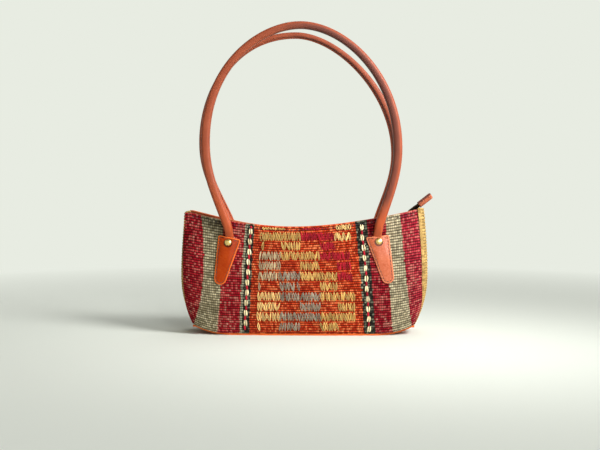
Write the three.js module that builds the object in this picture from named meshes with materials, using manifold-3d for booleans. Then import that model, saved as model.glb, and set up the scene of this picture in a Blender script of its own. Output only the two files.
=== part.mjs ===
// Kilim baguette bag: two woven wool panels and two wool end gussets on a leather base, a curved
// zip mouth, and two rolled leather handles whose ends are sewn and riveted under leather tabs.
// Millimetres, +Z up, +X along the bag, -Y to the front. The origin is the middle of the underside.

import * as THREE from "three";
import { mergeVertices } from "three/addons/utils/BufferGeometryUtils.js";
import Module from "manifold-3d";

// Body: lengths along X between the panels' side seams, depths along Y, heights along Z
const BODY_LENGTH = 321;
const RIM_END_INSET = 5;
const FOOT_END_INSET = 13;
const CORNER_LENGTH = 44.5;
const BODY_DEPTH = 88;
const RIM_INSET = 21;
const FOOT_INSET = 4;
const SEAM_SET_BACK = 6;
const RIM_SET_BACK = 7;
const RIM_HEIGHT = 150;
const RIM_RISE = 19.5;
const BACK_RIM_LIFT = 4;
const BACK_RIM_LIFT_START = 52;
const CORNER_LIFT = 10;

// Levels, as shares of the wall's height, at which the body is longest and deepest
const LONGEST_LEVEL = 0.5;
const DEEPEST_LEVEL = 0.3;
const LENGTH_CURVE = 2.6;
const DEPTH_CURVE = 1.6;

// Sheet thicknesses and the gap that sewn layers keep
const KILIM = 3.5;
const BASE_LEATHER = 2.5;
const FACING_LEATHER = 1.6;
const TAB_LEATHER = 2;
const LINING_CLOTH = 0.8;
const FIT = 0.3;

// End gussets
const GUSSET_BULGE = 7.5;
const GUSSET_FOOT_BULGE = 3;

// Raised weaving on the panels: brocade blocks in five columns, and two chains of beads
const BROCADE_COLUMNS = 5;
const BROCADE_COLUMN = 26;
const BROCADE_PITCH = 13.7;
const BROCADE_BLOCK = 11.2;
const BROCADE_TOP_DROP = 14.5;
const BROCADE_SHIFT = 4;
const BROCADE_RAISE = 1.1;
const CHAIN_SET_OFF = 14;
const CHAIN_BEAD_LENGTH = 7.4;
const CHAIN_BEAD_WIDTH = 5;
const STRIPE_FAN = 0.045;
const RAISED_ROOT = 1.6;

// Rim facing and lining
const FACING_DROP = 21;
const FACING_STAND = 1.2;
const FACING_END_GAP = 5;
const LINING_TUCK = 5;
const LINING_END_GAP = 4;
const LINING_FLOOR_GAP = 0.6;

// Zip
const ZIP_END_GAP = 3.5;
const ZIP_DROP = 9.5;
const TAPE_CLOTH = 0.8;
const TEETH_PITCH = 8;
const TEETH_HEIGHT = 2.2;
const TEETH_SLIT = 2.6;
const TOOTH_REACH = 1.1;
const TEETH_CORD = 1.3;
const STOP_LENGTH = 3;
const SLIDER_LENGTH = 13;
const SLIDER_WIDTH = 11;
const SLIDER_TAIL_WIDTH = 7;
const SLIDER_SHOULDER = 1.3;
const SLIDER_NOSE = 5.2;
const SLIDER_PLATE = 1.5;
const SLIDER_CLEARANCE = 0.5;
const SLIDER_POST_LENGTH = 3;
const BRIDGE_WIDTH = 2.4;
const BRIDGE_EYE = 1.45;
const BRIDGE_WALL = 1.4;

// Zip pull
const PULL_LEAN = 25.3;
const LINK_LENGTH = 32;
const LINK_WIDTH = 5.8;
const LINK_SHEET = 1.2;
const LINK_BAR = 1.9;
const LINK_WINDOW_LENGTH = 7;
const PULL_LEATHER_LENGTH = 22;
const PULL_LEATHER_WIDTH = 7;
const PULL_PLY = 1.6;
const PULL_GRIP = 6;

// Tabs and rivets
const TAB_INSET = 60;
const TAB_DROP = 17.3;
const TAB_LENGTH = 65;
const TAB_TOP_WIDTH = 31;
const TAB_END_RADIUS = 8.5;
const TAB_LEAN = 12;
const TAB_FLAT_EDGE = 1;
const RIVET_DROP = 8;
const RIVET_CAP_RADIUS = 4.7;
const RIVET_CAP_HEIGHT = 2.4;
const RIVET_SHANK_RADIUS = 1.5;
const RIVET_BACK_THICKNESS = 1.2;

// Handles
const FRONT_HANDLE_SPREAD = 30.1;
const BACK_HANDLE_SPREAD = 38.8;
const HANDLE_WAIST_RISE = 106;
const FRONT_HANDLE_RISE = 267.5;
const BACK_HANDLE_RISE = 266;
const HANDLE_FOOT_LEAN = 19;
const HANDLE_CORE_RADIUS = 5.2;
const HANDLE_SEAM_REACH = 7.2;
const HANDLE_SEAM_THICKNESS = 3.8;
const HANDLE_FOOT_RADIUS = 4.4;
const HANDLE_FOOT_TAPER = 40;
const HANDLE_FOOT_REACH = 45;
const HANDLE_SPLAY = 8;
const FRONT_HANDLE_LEAN = -5;
const BACK_HANDLE_LEAN = -14.7;
const FRONT_CROWN_UP = 0.632;
const FRONT_CROWN_ACROSS = 0.425;
const BACK_CROWN_UP = 0.443;
const BACK_CROWN_ACROSS = 0.539;
const HANDLE_END_LENGTH = 24;
const HANDLE_END_WIDTH = 9;
const HANDLE_END_THICKNESS = 2;

const FRONT = -1;
const BACK = 1;
const LEFT = -1;
const RIGHT = 1;

const { lerp, smoothstep, degToRad } = THREE.MathUtils;
const wasm = await Module();
wasm.setup();

// Materials
const MATERIALS = {
  kilim: new THREE.MeshStandardMaterial({ color: 0x9a3b30, roughness: 0.95 }),
  gusset: new THREE.MeshStandardMaterial({ color: 0xc79a4f, roughness: 0.95 }),
  leather: new THREE.MeshStandardMaterial({ color: 0xb9622f, roughness: 0.5 }),
  lining: new THREE.MeshStandardMaterial({ color: 0xd9cfb8, roughness: 0.9 }),
  tape: new THREE.MeshStandardMaterial({ color: 0x4a2a1c, roughness: 0.9 }),
  brass: new THREE.MeshStandardMaterial({ color: 0xc8b070, roughness: 0.3, metalness: 1 }),
  zipMetal: new THREE.MeshStandardMaterial({ color: 0x4b443a, roughness: 0.4, metalness: 1 }),
};

const bag = new THREE.Group();

function addPart(name, geometry, material, parent = bag) {
  const mesh = new THREE.Mesh(geometry, material);
  mesh.name = name;
  parent.add(mesh);
}

// Closed solids from rows of points

function signedVolume(points, triangles) {
  let sum = 0;
  for (const [a, b, c] of triangles) {
    sum += points[a].dot(new THREE.Vector3().crossVectors(points[b], points[c])) / 6;
  }
  return sum;
}

function solidGeometry(points, triangles) {
  const inwards = signedVolume(points, triangles) < 0;
  const facing = inwards ? triangles.map(([a, b, c]) => [a, c, b]) : triangles;
  const geometry = new THREE.BufferGeometry().setFromPoints(points);
  geometry.setIndex(facing.flat());
  geometry.computeVertexNormals();
  return geometry;
}

// A sheet with thickness: two grids of points, one for each face, joined round their edge.
function sheetGeometry(upper, lower) {
  const rows = upper.length;
  const columns = upper[0].length;
  const points = [...upper.flat(), ...lower.flat()];
  const under = rows * columns;
  const triangles = [];
  const quad = (a, b, c, d) => triangles.push([a, b, c], [a, c, d]);
  const at = (row, column) => row * columns + column;
  for (let row = 0; row < rows - 1; row += 1) {
    for (let column = 0; column < columns - 1; column += 1) {
      const corners = [at(row, column), at(row, column + 1), at(row + 1, column + 1), at(row + 1, column)];
      quad(...corners);
      quad(...corners.map((corner) => corner + under).reverse());
    }
  }
  const edge = [];
  for (let column = 0; column < columns - 1; column += 1) edge.push(at(0, column));
  for (let row = 0; row < rows - 1; row += 1) edge.push(at(row, columns - 1));
  for (let column = columns - 1; column > 0; column -= 1) edge.push(at(rows - 1, column));
  for (let row = rows - 1; row > 0; row -= 1) edge.push(at(row, 0));
  edge.forEach((corner, index) => {
    const next = edge[(index + 1) % edge.length];
    quad(corner, corner + under, next + under, next);
  });
  return solidGeometry(points, triangles);
}

// A skin through closed rings of equal length, with a fan over the first and the last ring.
function loftGeometry(rings) {
  const sides = rings[0].length;
  const points = rings.flat();
  const triangles = [];
  for (let ring = 0; ring < rings.length - 1; ring += 1) {
    for (let side = 0; side < sides; side += 1) {
      const next = (side + 1) % sides;
      const [a, b] = [ring * sides + side, ring * sides + next];
      triangles.push([a, b, b + sides], [a, b + sides, a + sides]);
    }
  }
  const middle = (ring) =>
    ring.reduce((sum, point) => sum.add(point), new THREE.Vector3()).divideScalar(sides);
  const first = points.push(middle(rings[0])) - 1;
  const last = points.push(middle(rings.at(-1))) - 1;
  const lastRing = (rings.length - 1) * sides;
  for (let side = 0; side < sides; side += 1) {
    const next = (side + 1) % sides;
    triangles.push([first, next, side], [last, lastRing + side, lastRing + next]);
  }
  return solidGeometry(points, triangles);
}

// Joining and cutting

const MERGE_DISTANCE = 1e-4;

function toSolid(geometry, matrix = new THREE.Matrix4()) {
  const bare = geometry.clone().applyMatrix4(matrix);
  bare.deleteAttribute("normal");
  bare.deleteAttribute("uv");
  const merged = mergeVertices(bare, MERGE_DISTANCE);
  const corners = merged.index.array;
  const triVerts = [];
  for (let start = 0; start < corners.length; start += 3) {
    const [a, b, c] = corners.slice(start, start + 3);
    if (a !== b && b !== c && c !== a) triVerts.push(a, b, c);
  }
  const mesh = new wasm.Mesh({
    numProp: 3,
    vertProperties: new Float32Array(merged.attributes.position.array),
    triVerts: new Uint32Array(triVerts),
  });
  return new wasm.Manifold(mesh);
}

function fromSolid(solid) {
  const { vertProperties, triVerts } = solid.getMesh();
  const geometry = new THREE.BufferGeometry();
  geometry.setAttribute("position", new THREE.BufferAttribute(vertProperties, 3));
  geometry.setIndex(new THREE.BufferAttribute(triVerts, 1));
  geometry.computeVertexNormals();
  return geometry;
}

const join = (solids) => solids.reduce((sum, solid) => sum.add(solid));

function box(length, width, height, x, y, z) {
  return toSolid(new THREE.BoxGeometry(length, width, height), new THREE.Matrix4().makeTranslation(x, y, z));
}

// Shape of the body's wall. A level runs from 0 at the wall's lower edge to 1 at the rim.

const rimLength = BODY_LENGTH - 2 * RIM_END_INSET;
const footLength = BODY_LENGTH - 2 * FOOT_END_INSET;
const rimDepth = BODY_DEPTH - 2 * RIM_INSET;
const footDepth = BODY_DEPTH - 2 * FOOT_INSET;
const rimRadius = ((rimLength / 2) ** 2 + RIM_RISE ** 2) / (2 * RIM_RISE);
const rimCentreHeight = RIM_HEIGHT + rimRadius;
const lowestEdge = BASE_LEATHER + FIT;

function rimHeight(x, side) {
  const lift = side === BACK ? BACK_RIM_LIFT * smoothstep(-x, BACK_RIM_LIFT_START, rimLength / 2) : 0;
  return rimCentreHeight - Math.sqrt(rimRadius ** 2 - x ** 2) + lift;
}

function lowerEdge(x) {
  const past = Math.max(0, Math.abs(x) - (footLength / 2 - CORNER_LENGTH)) / CORNER_LENGTH;
  return lowestEdge + CORNER_LIFT * past ** 2;
}

function halfLength(level) {
  if (level < LONGEST_LEVEL) {
    const below = (LONGEST_LEVEL - level) / LONGEST_LEVEL;
    return lerp(BODY_LENGTH, footLength, below ** LENGTH_CURVE) / 2;
  }
  const above = (level - LONGEST_LEVEL) / (1 - LONGEST_LEVEL);
  return lerp(BODY_LENGTH, rimLength, above ** 2) / 2;
}

function halfDepth(level) {
  if (level < DEEPEST_LEVEL) {
    const below = (DEEPEST_LEVEL - level) / DEEPEST_LEVEL;
    return lerp(BODY_DEPTH, footDepth, below ** 2) / 2;
  }
  const above = (level - DEEPEST_LEVEL) / (1 - DEEPEST_LEVEL);
  return lerp(BODY_DEPTH, rimDepth, above ** DEPTH_CURVE) / 2;
}

const seamSetBack = (level) => lerp(SEAM_SET_BACK, RIM_SET_BACK, level);
const seamHalfDepth = (level) => halfDepth(level) - seamSetBack(level);
const levelAt = (x, z, side) => (z - lowerEdge(x)) / (rimHeight(x, side) - lowerEdge(x));
const heightAt = (x, level, side) => lerp(lowerEdge(x), rimHeight(x, side), level);

// A point of a panel, at a distance proud of its outer face.
function panelPoint(x, level, side, proud) {
  const depth = halfDepth(level) - seamSetBack(level) * (x / halfLength(level)) ** 2;
  return new THREE.Vector3(x, side * (depth + proud), heightAt(x, level, side));
}

const spread = (count, from, to) => Array.from({ length: count }, (_, i) => lerp(from, to, i / (count - 1)));

// Kilim panels

const PANEL_COLUMNS = 15;
const PANEL_ROWS = 10;

function panelSheet(side) {
  const face = (proud) =>
    spread(PANEL_ROWS, 0, 1).map((level) =>
      spread(PANEL_COLUMNS, -1, 1).map((along) => panelPoint(along * halfLength(level), level, side, proud)));
  return toSolid(sheetGeometry(face(0), face(-KILIM)));
}

// A raised patch of weaving between two places along the stripes and two heights.
function raisedPatch(side, from, to, bottom, top, columns) {
  const face = (proud) =>
    [bottom, top].map((z) =>
      spread(columns, from, to).map((stripe) => {
        const fan = 1 + STRIPE_FAN * (1 - 2 * levelAt(stripe, z, side));
        const x = BROCADE_SHIFT + (stripe - BROCADE_SHIFT) * fan;
        return panelPoint(x, levelAt(x, z, side), side, proud);
      }));
  return toSolid(sheetGeometry(face(BROCADE_RAISE), face(-RAISED_ROOT)));
}

const brocadeLeft = BROCADE_SHIFT - (BROCADE_COLUMNS * BROCADE_COLUMN) / 2;
const brocadeHeight = RIM_HEIGHT - BROCADE_TOP_DROP - BROCADE_BLOCK / 2 - lowestEdge;
const brocadeRows = Math.floor(brocadeHeight / BROCADE_PITCH) + 1;
const brocadeRowHeight = (row) => RIM_HEIGHT - BROCADE_TOP_DROP - row * BROCADE_PITCH;

// Even rows run right across; odd rows hold single blocks, at the odd and the even columns in turn.
function brocadePatches(side) {
  const patches = [];
  for (let row = 0; row < brocadeRows; row += 1) {
    const bottom = brocadeRowHeight(row) - BROCADE_BLOCK / 2;
    const top = brocadeRowHeight(row) + BROCADE_BLOCK / 2;
    if (row % 2 === 0) {
      const right = brocadeLeft + BROCADE_COLUMNS * BROCADE_COLUMN;
      patches.push(raisedPatch(side, brocadeLeft, right, bottom, top, BROCADE_COLUMNS + 1));
      continue;
    }
    const firstColumn = row % 4 === 1 ? 1 : 0;
    for (let column = firstColumn; column < BROCADE_COLUMNS; column += 2) {
      const left = brocadeLeft + column * BROCADE_COLUMN;
      patches.push(raisedPatch(side, left, left + BROCADE_COLUMN, bottom, top, 2));
    }
  }
  return patches;
}

function chainPatches(side) {
  const centres = [LEFT, RIGHT].map(
    (end) => BROCADE_SHIFT + end * ((BROCADE_COLUMNS * BROCADE_COLUMN) / 2 + CHAIN_SET_OFF));
  return centres.flatMap((centre) =>
    Array.from({ length: brocadeRows }, (_, row) => {
      const height = brocadeRowHeight(row) + BROCADE_PITCH / 2;
      const [from, to] = [centre - CHAIN_BEAD_WIDTH / 2, centre + CHAIN_BEAD_WIDTH / 2];
      return raisedPatch(side, from, to, height - CHAIN_BEAD_LENGTH / 2, height + CHAIN_BEAD_LENGTH / 2, 2);
    }));
}

// Tabs: a place on a tab is given across it, and down it from the middle of its top edge.

const tabSpacing = BODY_LENGTH - 2 * TAB_INSET;
const tabTopHeight = RIM_HEIGHT - TAB_DROP;

function tabPoint(side, end, across, down, proud) {
  const lean = degToRad(TAB_LEAN);
  const x = end * (tabSpacing / 2 + across * Math.cos(lean) + down * Math.sin(lean));
  const z = tabTopHeight + across * Math.sin(lean) - down * Math.cos(lean);
  return panelPoint(x, levelAt(x, z, side), side, proud);
}

// The tab swells over the handle's end, which lies between it and the panel.
function tabSwell(across, down) {
  const swellEdge = TAB_TOP_WIDTH / 2 - TAB_FLAT_EDGE;
  const sideways = 1 - smoothstep(Math.abs(across), HANDLE_END_WIDTH / 2 + FIT, swellEdge);
  const downwards = 1 - smoothstep(down, HANDLE_END_LENGTH + FIT, TAB_LENGTH - TAB_END_RADIUS);
  return FIT + (HANDLE_END_THICKNESS + FIT) * sideways * downwards;
}

function tabHalfWidth(down) {
  const roundStart = TAB_LENGTH - TAB_END_RADIUS;
  if (down < roundStart) return lerp(TAB_TOP_WIDTH / 2, TAB_END_RADIUS, down / roundStart);
  return Math.sqrt(Math.max(0, TAB_END_RADIUS ** 2 - (down - roundStart) ** 2));
}

const TAB_COLUMNS = 7;
const TAB_STRAIGHT_ROWS = 5;
const TAB_ROUND_ROWS = 4;
const TAB_LAST_TURN = 80;

function tabRows() {
  const roundStart = TAB_LENGTH - TAB_END_RADIUS;
  const straight = spread(TAB_STRAIGHT_ROWS, 0, roundStart);
  const turns = spread(TAB_ROUND_ROWS, 0, degToRad(TAB_LAST_TURN)).slice(1);
  return [...straight, ...turns.map((turn) => roundStart + TAB_END_RADIUS * Math.sin(turn))];
}

function tabSheet(side, end) {
  const face = (thickness) =>
    tabRows().map((down) =>
      spread(TAB_COLUMNS, -1, 1).map((share) => {
        const across = share * tabHalfWidth(down);
        return tabPoint(side, end, across, down, tabSwell(across, down) + thickness);
      }));
  return toSolid(sheetGeometry(face(TAB_LEATHER), face(0)));
}

const HANDLE_END_ROWS = 5;
const HANDLE_END_COLUMNS = 3;

function handleEndSheet(side, end) {
  const half = HANDLE_END_WIDTH / 2;
  const face = (proud) =>
    spread(HANDLE_END_ROWS, FIT, HANDLE_END_LENGTH).map((down) =>
      spread(HANDLE_END_COLUMNS, -half, half).map((across) => tabPoint(side, end, across, down, proud)));
  return toSolid(sheetGeometry(face(FIT + HANDLE_END_THICKNESS), face(FIT)));
}

// A frame at the rivet: its Y axis points out of the panel.
function rivetFrame(side, end) {
  const place = tabPoint(side, end, 0, RIVET_DROP, 0);
  const across = tabPoint(side, end, 1, RIVET_DROP, 0).sub(place);
  const down = tabPoint(side, end, 0, RIVET_DROP + 1, 0).sub(place);
  const out = new THREE.Vector3().crossVectors(across, down).normalize();
  if (out.y * side < 0) out.negate();
  const turn = new THREE.Quaternion().setFromUnitVectors(new THREE.Vector3(0, 1, 0), out);
  return new THREE.Matrix4().compose(place, turn, new THREE.Vector3(1, 1, 1));
}

const RIVET_SIDES = 10;
const RIVET_DOME_POINTS = 4;
const tabOutside = 2 * FIT + HANDLE_END_THICKNESS + TAB_LEATHER;

function rivetHole(side, end) {
  const radius = RIVET_SHANK_RADIUS + FIT;
  const length = 2 * (KILIM + tabOutside);
  return toSolid(new THREE.CylinderGeometry(radius, radius, length, RIVET_SIDES), rivetFrame(side, end));
}

function rivetGeometry(side, end) {
  const seat = tabOutside + FIT;
  const back = -KILIM - FIT;
  const backRadius = RIVET_CAP_RADIUS - FIT;
  const dome = spread(RIVET_DOME_POINTS, 0, Math.PI / 2).map((turn) =>
    [RIVET_CAP_RADIUS * Math.cos(turn), seat + RIVET_CAP_HEIGHT * Math.sin(turn)]);
  const profile = [
    [0, back - RIVET_BACK_THICKNESS],
    [backRadius, back - RIVET_BACK_THICKNESS],
    [backRadius, back],
    [RIVET_SHANK_RADIUS, back],
    [RIVET_SHANK_RADIUS, seat],
    ...dome,
  ];
  const turned = new THREE.LatheGeometry(profile.map(([r, h]) => new THREE.Vector2(r, h)), RIVET_SIDES);
  return fromSolid(toSolid(turned, rivetFrame(side, end)));
}

const sideName = (side) => (side === FRONT ? "front" : "back");
const endName = (end) => (end === LEFT ? "left" : "right");

for (const side of [FRONT, BACK]) {
  const holes = [LEFT, RIGHT].map((end) => rivetHole(side, end));
  const woven = join([panelSheet(side), ...brocadePatches(side), ...chainPatches(side)]);
  addPart(`${sideName(side)}_panel`, fromSolid(woven.subtract(join(holes))), MATERIALS.kilim);
  [LEFT, RIGHT].forEach((end, index) => {
    const name = `${sideName(side)}_${endName(end)}`;
    addPart(`${name}_tab`, fromSolid(tabSheet(side, end).subtract(holes[index])), MATERIALS.leather);
    const handleEnd = handleEndSheet(side, end).subtract(holes[index]);
    addPart(`${name}_handle_end`, fromSolid(handleEnd), MATERIALS.leather);
    addPart(`${name}_rivet`, rivetGeometry(side, end), MATERIALS.brass);
  });
}

// End gussets: each lies against the panels' side edges and swells outwards between them.

const GUSSET_COLUMNS = 7;
const GUSSET_ROWS = 9;

function gussetPoint(end, share, level, proud) {
  const bulge = lerp(GUSSET_FOOT_BULGE, GUSSET_BULGE, smoothstep(level, 0, LONGEST_LEVEL));
  const x = end * (halfLength(level) + FIT + bulge * (1 - share ** 2) + proud);
  const y = share * seamHalfDepth(level);
  const rim = lerp(rimHeight(x, FRONT), rimHeight(x, BACK), (share + 1) / 2);
  const foot = lowerEdge(end * halfLength(0));
  return new THREE.Vector3(x, y, lerp(foot, rim, level));
}

function gussetGeometry(end) {
  const face = (proud) =>
    spread(GUSSET_ROWS, 0, 1).map((level) =>
      spread(GUSSET_COLUMNS, -1, 1).map((share) => gussetPoint(end, share, level, proud)));
  return sheetGeometry(face(KILIM), face(0));
}

addPart("left_gusset", gussetGeometry(LEFT), MATERIALS.gusset);
addPart("right_gusset", gussetGeometry(RIGHT), MATERIALS.gusset);

// Leather base: flat in the middle, and lifting with the wall's lower edge towards its ends

const BASE_ROWS = 3;

function baseGeometry() {
  const half = halfLength(0);
  const whole = half + FIT + KILIM;
  const places = [-whole, ...spread(PANEL_COLUMNS, -half, half), whole];
  const face = (drop) =>
    spread(BASE_ROWS, -1, 1).map((share) =>
      places.map((x) => {
        const inside = THREE.MathUtils.clamp(x, -half, half);
        const y = share * panelPoint(inside, 0, BACK, 0).y;
        return new THREE.Vector3(x, y, lowerEdge(inside) - FIT - drop);
      }));
  return sheetGeometry(face(0), face(BASE_LEATHER));
}

addPart("leather_base", baseGeometry(), MATERIALS.leather);

// Rim facings and lining

const FACING_COLUMNS = 17;
const FACING_ROWS = 4;
const facingOutside = KILIM + FIT;
const facingInside = facingOutside + FACING_LEATHER;

function facingGeometry(side) {
  const half = rimLength / 2 - FACING_END_GAP;
  const face = (inset) =>
    spread(FACING_ROWS, -FACING_DROP, FACING_STAND).map((rise) =>
      spread(FACING_COLUMNS, -half, half).map((x) => {
        const level = levelAt(x, rimHeight(x, side) + rise, side);
        return panelPoint(x, level, side, -inset);
      }));
  return sheetGeometry(face(facingOutside), face(facingInside));
}

addPart("front_facing", facingGeometry(FRONT), MATERIALS.leather);
addPart("back_facing", facingGeometry(BACK), MATERIALS.leather);

const LINING_COLUMNS = 12;
const LINING_ROWS = 5;

function liningRing(share, inset) {
  const row = (side) =>
    spread(LINING_COLUMNS, -1, 1).map((along) => {
      const reach = along * (rimLength / 2 - LINING_END_GAP - inset);
      const top = levelAt(reach, rimHeight(reach, side) - FACING_DROP + LINING_TUCK, side);
      const level = share * top;
      const half = halfLength(level) - LINING_END_GAP - inset;
      const point = panelPoint(along * half, level, side, -facingInside - FIT - inset);
      point.z += (LINING_FLOOR_GAP + inset) * (1 - share);
      return point;
    });
  return [...row(FRONT), ...row(BACK).reverse()];
}

function liningGeometry() {
  const inner = spread(LINING_ROWS, 0, 1).map((share) => liningRing(share, LINING_CLOTH));
  const outer = spread(LINING_ROWS, 1, 0).map((share) => liningRing(share, 0));
  return loftGeometry([...inner, ...outer]);
}

addPart("lining", liningGeometry(), MATERIALS.lining);

// Zip: everything on it is placed by an angle along the mouth's arc, across it and above it.

const zipRadius = rimRadius + ZIP_DROP;
const zipLength = rimLength - 2 * ZIP_END_GAP;

function zipPoint(distance, y, above) {
  const angle = distance / zipRadius;
  const radius = zipRadius - above;
  return new THREE.Vector3(radius * Math.sin(angle), y, rimCentreHeight - radius * Math.cos(angle));
}

const TAPE_COLUMNS = 19;
const teethRoot = TEETH_SLIT / 2 + TOOTH_REACH + TEETH_CORD;

function tapeGeometry(side) {
  const face = (above) => {
    const places = spread(TAPE_COLUMNS, -zipLength / 2, zipLength / 2);
    const inner = places.map((distance) => zipPoint(distance, side * (teethRoot + FIT), above));
    const outer = inner.map(({ x, z }) => {
      const edge = panelPoint(x, levelAt(x, z, side), side, -facingInside - FIT);
      return new THREE.Vector3(x, edge.y, z);
    });
    return [inner, outer];
  };
  return sheetGeometry(face(TAPE_CLOTH / 2), face(-TAPE_CLOTH / 2));
}

const teethLength = zipLength - 2 * (STOP_LENGTH + 2 * FIT);
const teethCount = Math.floor(teethLength / TEETH_PITCH);

// The two rows stand half a tooth apart along the zip, and leave the slit that the slider's post runs in.
function teethGeometry(side) {
  const start = -(teethCount * TEETH_PITCH) / 2 + (side === BACK ? TEETH_PITCH / 2 : 0);
  const places = [];
  for (let tooth = 0; tooth < teethCount; tooth += 1) {
    const left = start + tooth * TEETH_PITCH;
    places.push([left, 0], [left + TEETH_PITCH / 2, 1]);
  }
  const root = (above) => places.map(([distance]) => zipPoint(distance, side * teethRoot, above));
  const tip = (above) =>
    places.map(([distance, out]) => {
      const y = TEETH_SLIT / 2 + (1 - out) * TOOTH_REACH;
      return zipPoint(distance, side * y, above);
    });
  const half = TEETH_HEIGHT / 2;
  return sheetGeometry([root(half), tip(half)], [root(-half), tip(-half)]);
}

for (const side of [FRONT, BACK]) {
  addPart(`${sideName(side)}_zip_tape`, tapeGeometry(side), MATERIALS.tape);
  addPart(`${sideName(side)}_zip_teeth`, teethGeometry(side), MATERIALS.zipMetal);
}

// A group at a place along the zip, with its own X along the mouth's arc and Z square to it.
function zipStation(distance) {
  const station = new THREE.Group();
  station.position.copy(zipPoint(distance, 0, 0));
  station.rotation.y = -distance / zipRadius;
  bag.add(station);
  return station;
}

const stopPlace = zipLength / 2 - STOP_LENGTH / 2;
for (const end of [LEFT, RIGHT]) {
  const stop = new THREE.BoxGeometry(STOP_LENGTH, 2 * teethRoot, TEETH_HEIGHT);
  addPart(`zip_${endName(end)}_stop`, stop, MATERIALS.zipMetal, zipStation(end * stopPlace));
}

// Slider: two plates joined by a post in the teeth's slit, with an eye for the pull on top

const CURVE_FACETS = 6;
const plateInside = TEETH_HEIGHT / 2 + SLIDER_CLEARANCE;
const plateOutside = plateInside + SLIDER_PLATE;
const eyeHeight = plateOutside + BRIDGE_EYE + FIT;
const eyeRadius = BRIDGE_EYE + BRIDGE_WALL;
const sliderPlace = stopPlace - STOP_LENGTH / 2 - 2 * FIT - SLIDER_LENGTH / 2;

function sliderPlate() {
  const half = SLIDER_LENGTH / 2;
  const tail = SLIDER_TAIL_WIDTH / 2;
  const wide = SLIDER_WIDTH / 2;
  const outline = new THREE.Shape();
  outline.moveTo(-half, -tail);
  outline.lineTo(SLIDER_SHOULDER, -wide);
  outline.lineTo(SLIDER_NOSE, -wide);
  outline.quadraticCurveTo(SLIDER_LENGTH - SLIDER_NOSE, 0, SLIDER_NOSE, wide);
  outline.lineTo(SLIDER_SHOULDER, wide);
  outline.lineTo(-half, tail);
  const settings = { depth: SLIDER_PLATE, bevelEnabled: false, curveSegments: CURVE_FACETS };
  return new THREE.ExtrudeGeometry(outline, settings);
}

function sliderBridge() {
  const sunk = SLIDER_PLATE / 2;
  const outline = new THREE.Shape();
  outline.moveTo(-eyeRadius, plateOutside - sunk);
  outline.lineTo(eyeRadius, plateOutside - sunk);
  outline.absarc(0, eyeHeight, eyeRadius, 0, Math.PI, false);
  outline.holes.push(new THREE.Path().absarc(0, eyeHeight, BRIDGE_EYE, 0, 2 * Math.PI, true));
  const settings = { depth: BRIDGE_WIDTH, bevelEnabled: false, curveSegments: CURVE_FACETS };
  const upright = new THREE.Matrix4().makeRotationX(Math.PI / 2);
  const centred = new THREE.Matrix4().makeTranslation(0, BRIDGE_WIDTH / 2, 0);
  return toSolid(new THREE.ExtrudeGeometry(outline, settings), centred.multiply(upright));
}

function sliderGeometry() {
  const plate = sliderPlate();
  const top = toSolid(plate, new THREE.Matrix4().makeTranslation(0, 0, plateInside));
  const bottom = toSolid(plate, new THREE.Matrix4().makeTranslation(0, 0, -plateOutside));
  const postWidth = TEETH_SLIT - 2 * SLIDER_CLEARANCE;
  const postPlace = SLIDER_LENGTH / 2 - SLIDER_POST_LENGTH;
  const post = box(SLIDER_POST_LENGTH, postWidth, 2 * plateInside + SLIDER_PLATE, postPlace, 0, 0);
  return fromSolid(join([top, bottom, post, sliderBridge()]));
}

const sliderStation = zipStation(sliderPlace);
addPart("zip_slider", sliderGeometry(), MATERIALS.zipMetal, sliderStation);

// Pull: a metal link through the slider's eye, and a leather strip folded over the link's far end

const pullGroup = new THREE.Group();
pullGroup.position.z = eyeHeight;
pullGroup.rotation.y = -degToRad(PULL_LEAN);
sliderStation.add(pullGroup);

const linkArm = (LINK_WIDTH - BRIDGE_WIDTH) / 2 - FIT;

function linkGeometry() {
  const middle = (LINK_LENGTH - LINK_BAR) / 2;
  const plate = box(LINK_LENGTH, LINK_WIDTH, LINK_SHEET, middle, 0, 0);
  const window = LINK_BAR / 2 + LINK_WINDOW_LENGTH / 2;
  return fromSolid(plate.subtract(
    box(LINK_WINDOW_LENGTH, LINK_WIDTH - 2 * linkArm, 2 * LINK_SHEET, window, 0, 0)));
}

function pullLeatherGeometry() {
  const start = LINK_LENGTH - LINK_BAR / 2 - PULL_GRIP;
  const pocket = PULL_GRIP + FIT;
  const gap = LINK_SHEET / 2 + FIT;
  const outside = gap + PULL_PLY;
  const outline = new THREE.Shape();
  outline.moveTo(start, gap);
  outline.lineTo(start, outside);
  outline.lineTo(start + PULL_LEATHER_LENGTH - outside, outside);
  outline.absarc(start + PULL_LEATHER_LENGTH - outside, 0, outside, Math.PI / 2, -Math.PI / 2, true);
  outline.lineTo(start, -outside);
  outline.lineTo(start, -gap);
  outline.lineTo(start + pocket, -gap);
  outline.lineTo(start + pocket, gap);
  const settings = { depth: PULL_LEATHER_WIDTH, bevelEnabled: false, curveSegments: CURVE_FACETS };
  const geometry = new THREE.ExtrudeGeometry(outline, settings);
  geometry.translate(0, 0, -PULL_LEATHER_WIDTH / 2);
  return geometry.rotateX(Math.PI / 2);
}

addPart("zip_pull_link", linkGeometry(), MATERIALS.zipMetal, pullGroup);
addPart("zip_pull_leather", pullLeatherGeometry(), MATERIALS.leather, pullGroup);

// Handles: each is a rolled strip whose seam runs along the inside of the arch.

const HANDLE_STEPS = 40;
const HANDLE_ARC_SIDES = 8;
const HANDLE_ARC_TURN = 115;
const FOOT_RINGS = 4;
const FOOT_LAST_TURN = 70;

const footHeight = tabTopHeight + HANDLE_FOOT_RADIUS + 2 * FIT;
const handleWaistHeight = RIM_HEIGHT + HANDLE_WAIST_RISE;

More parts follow.
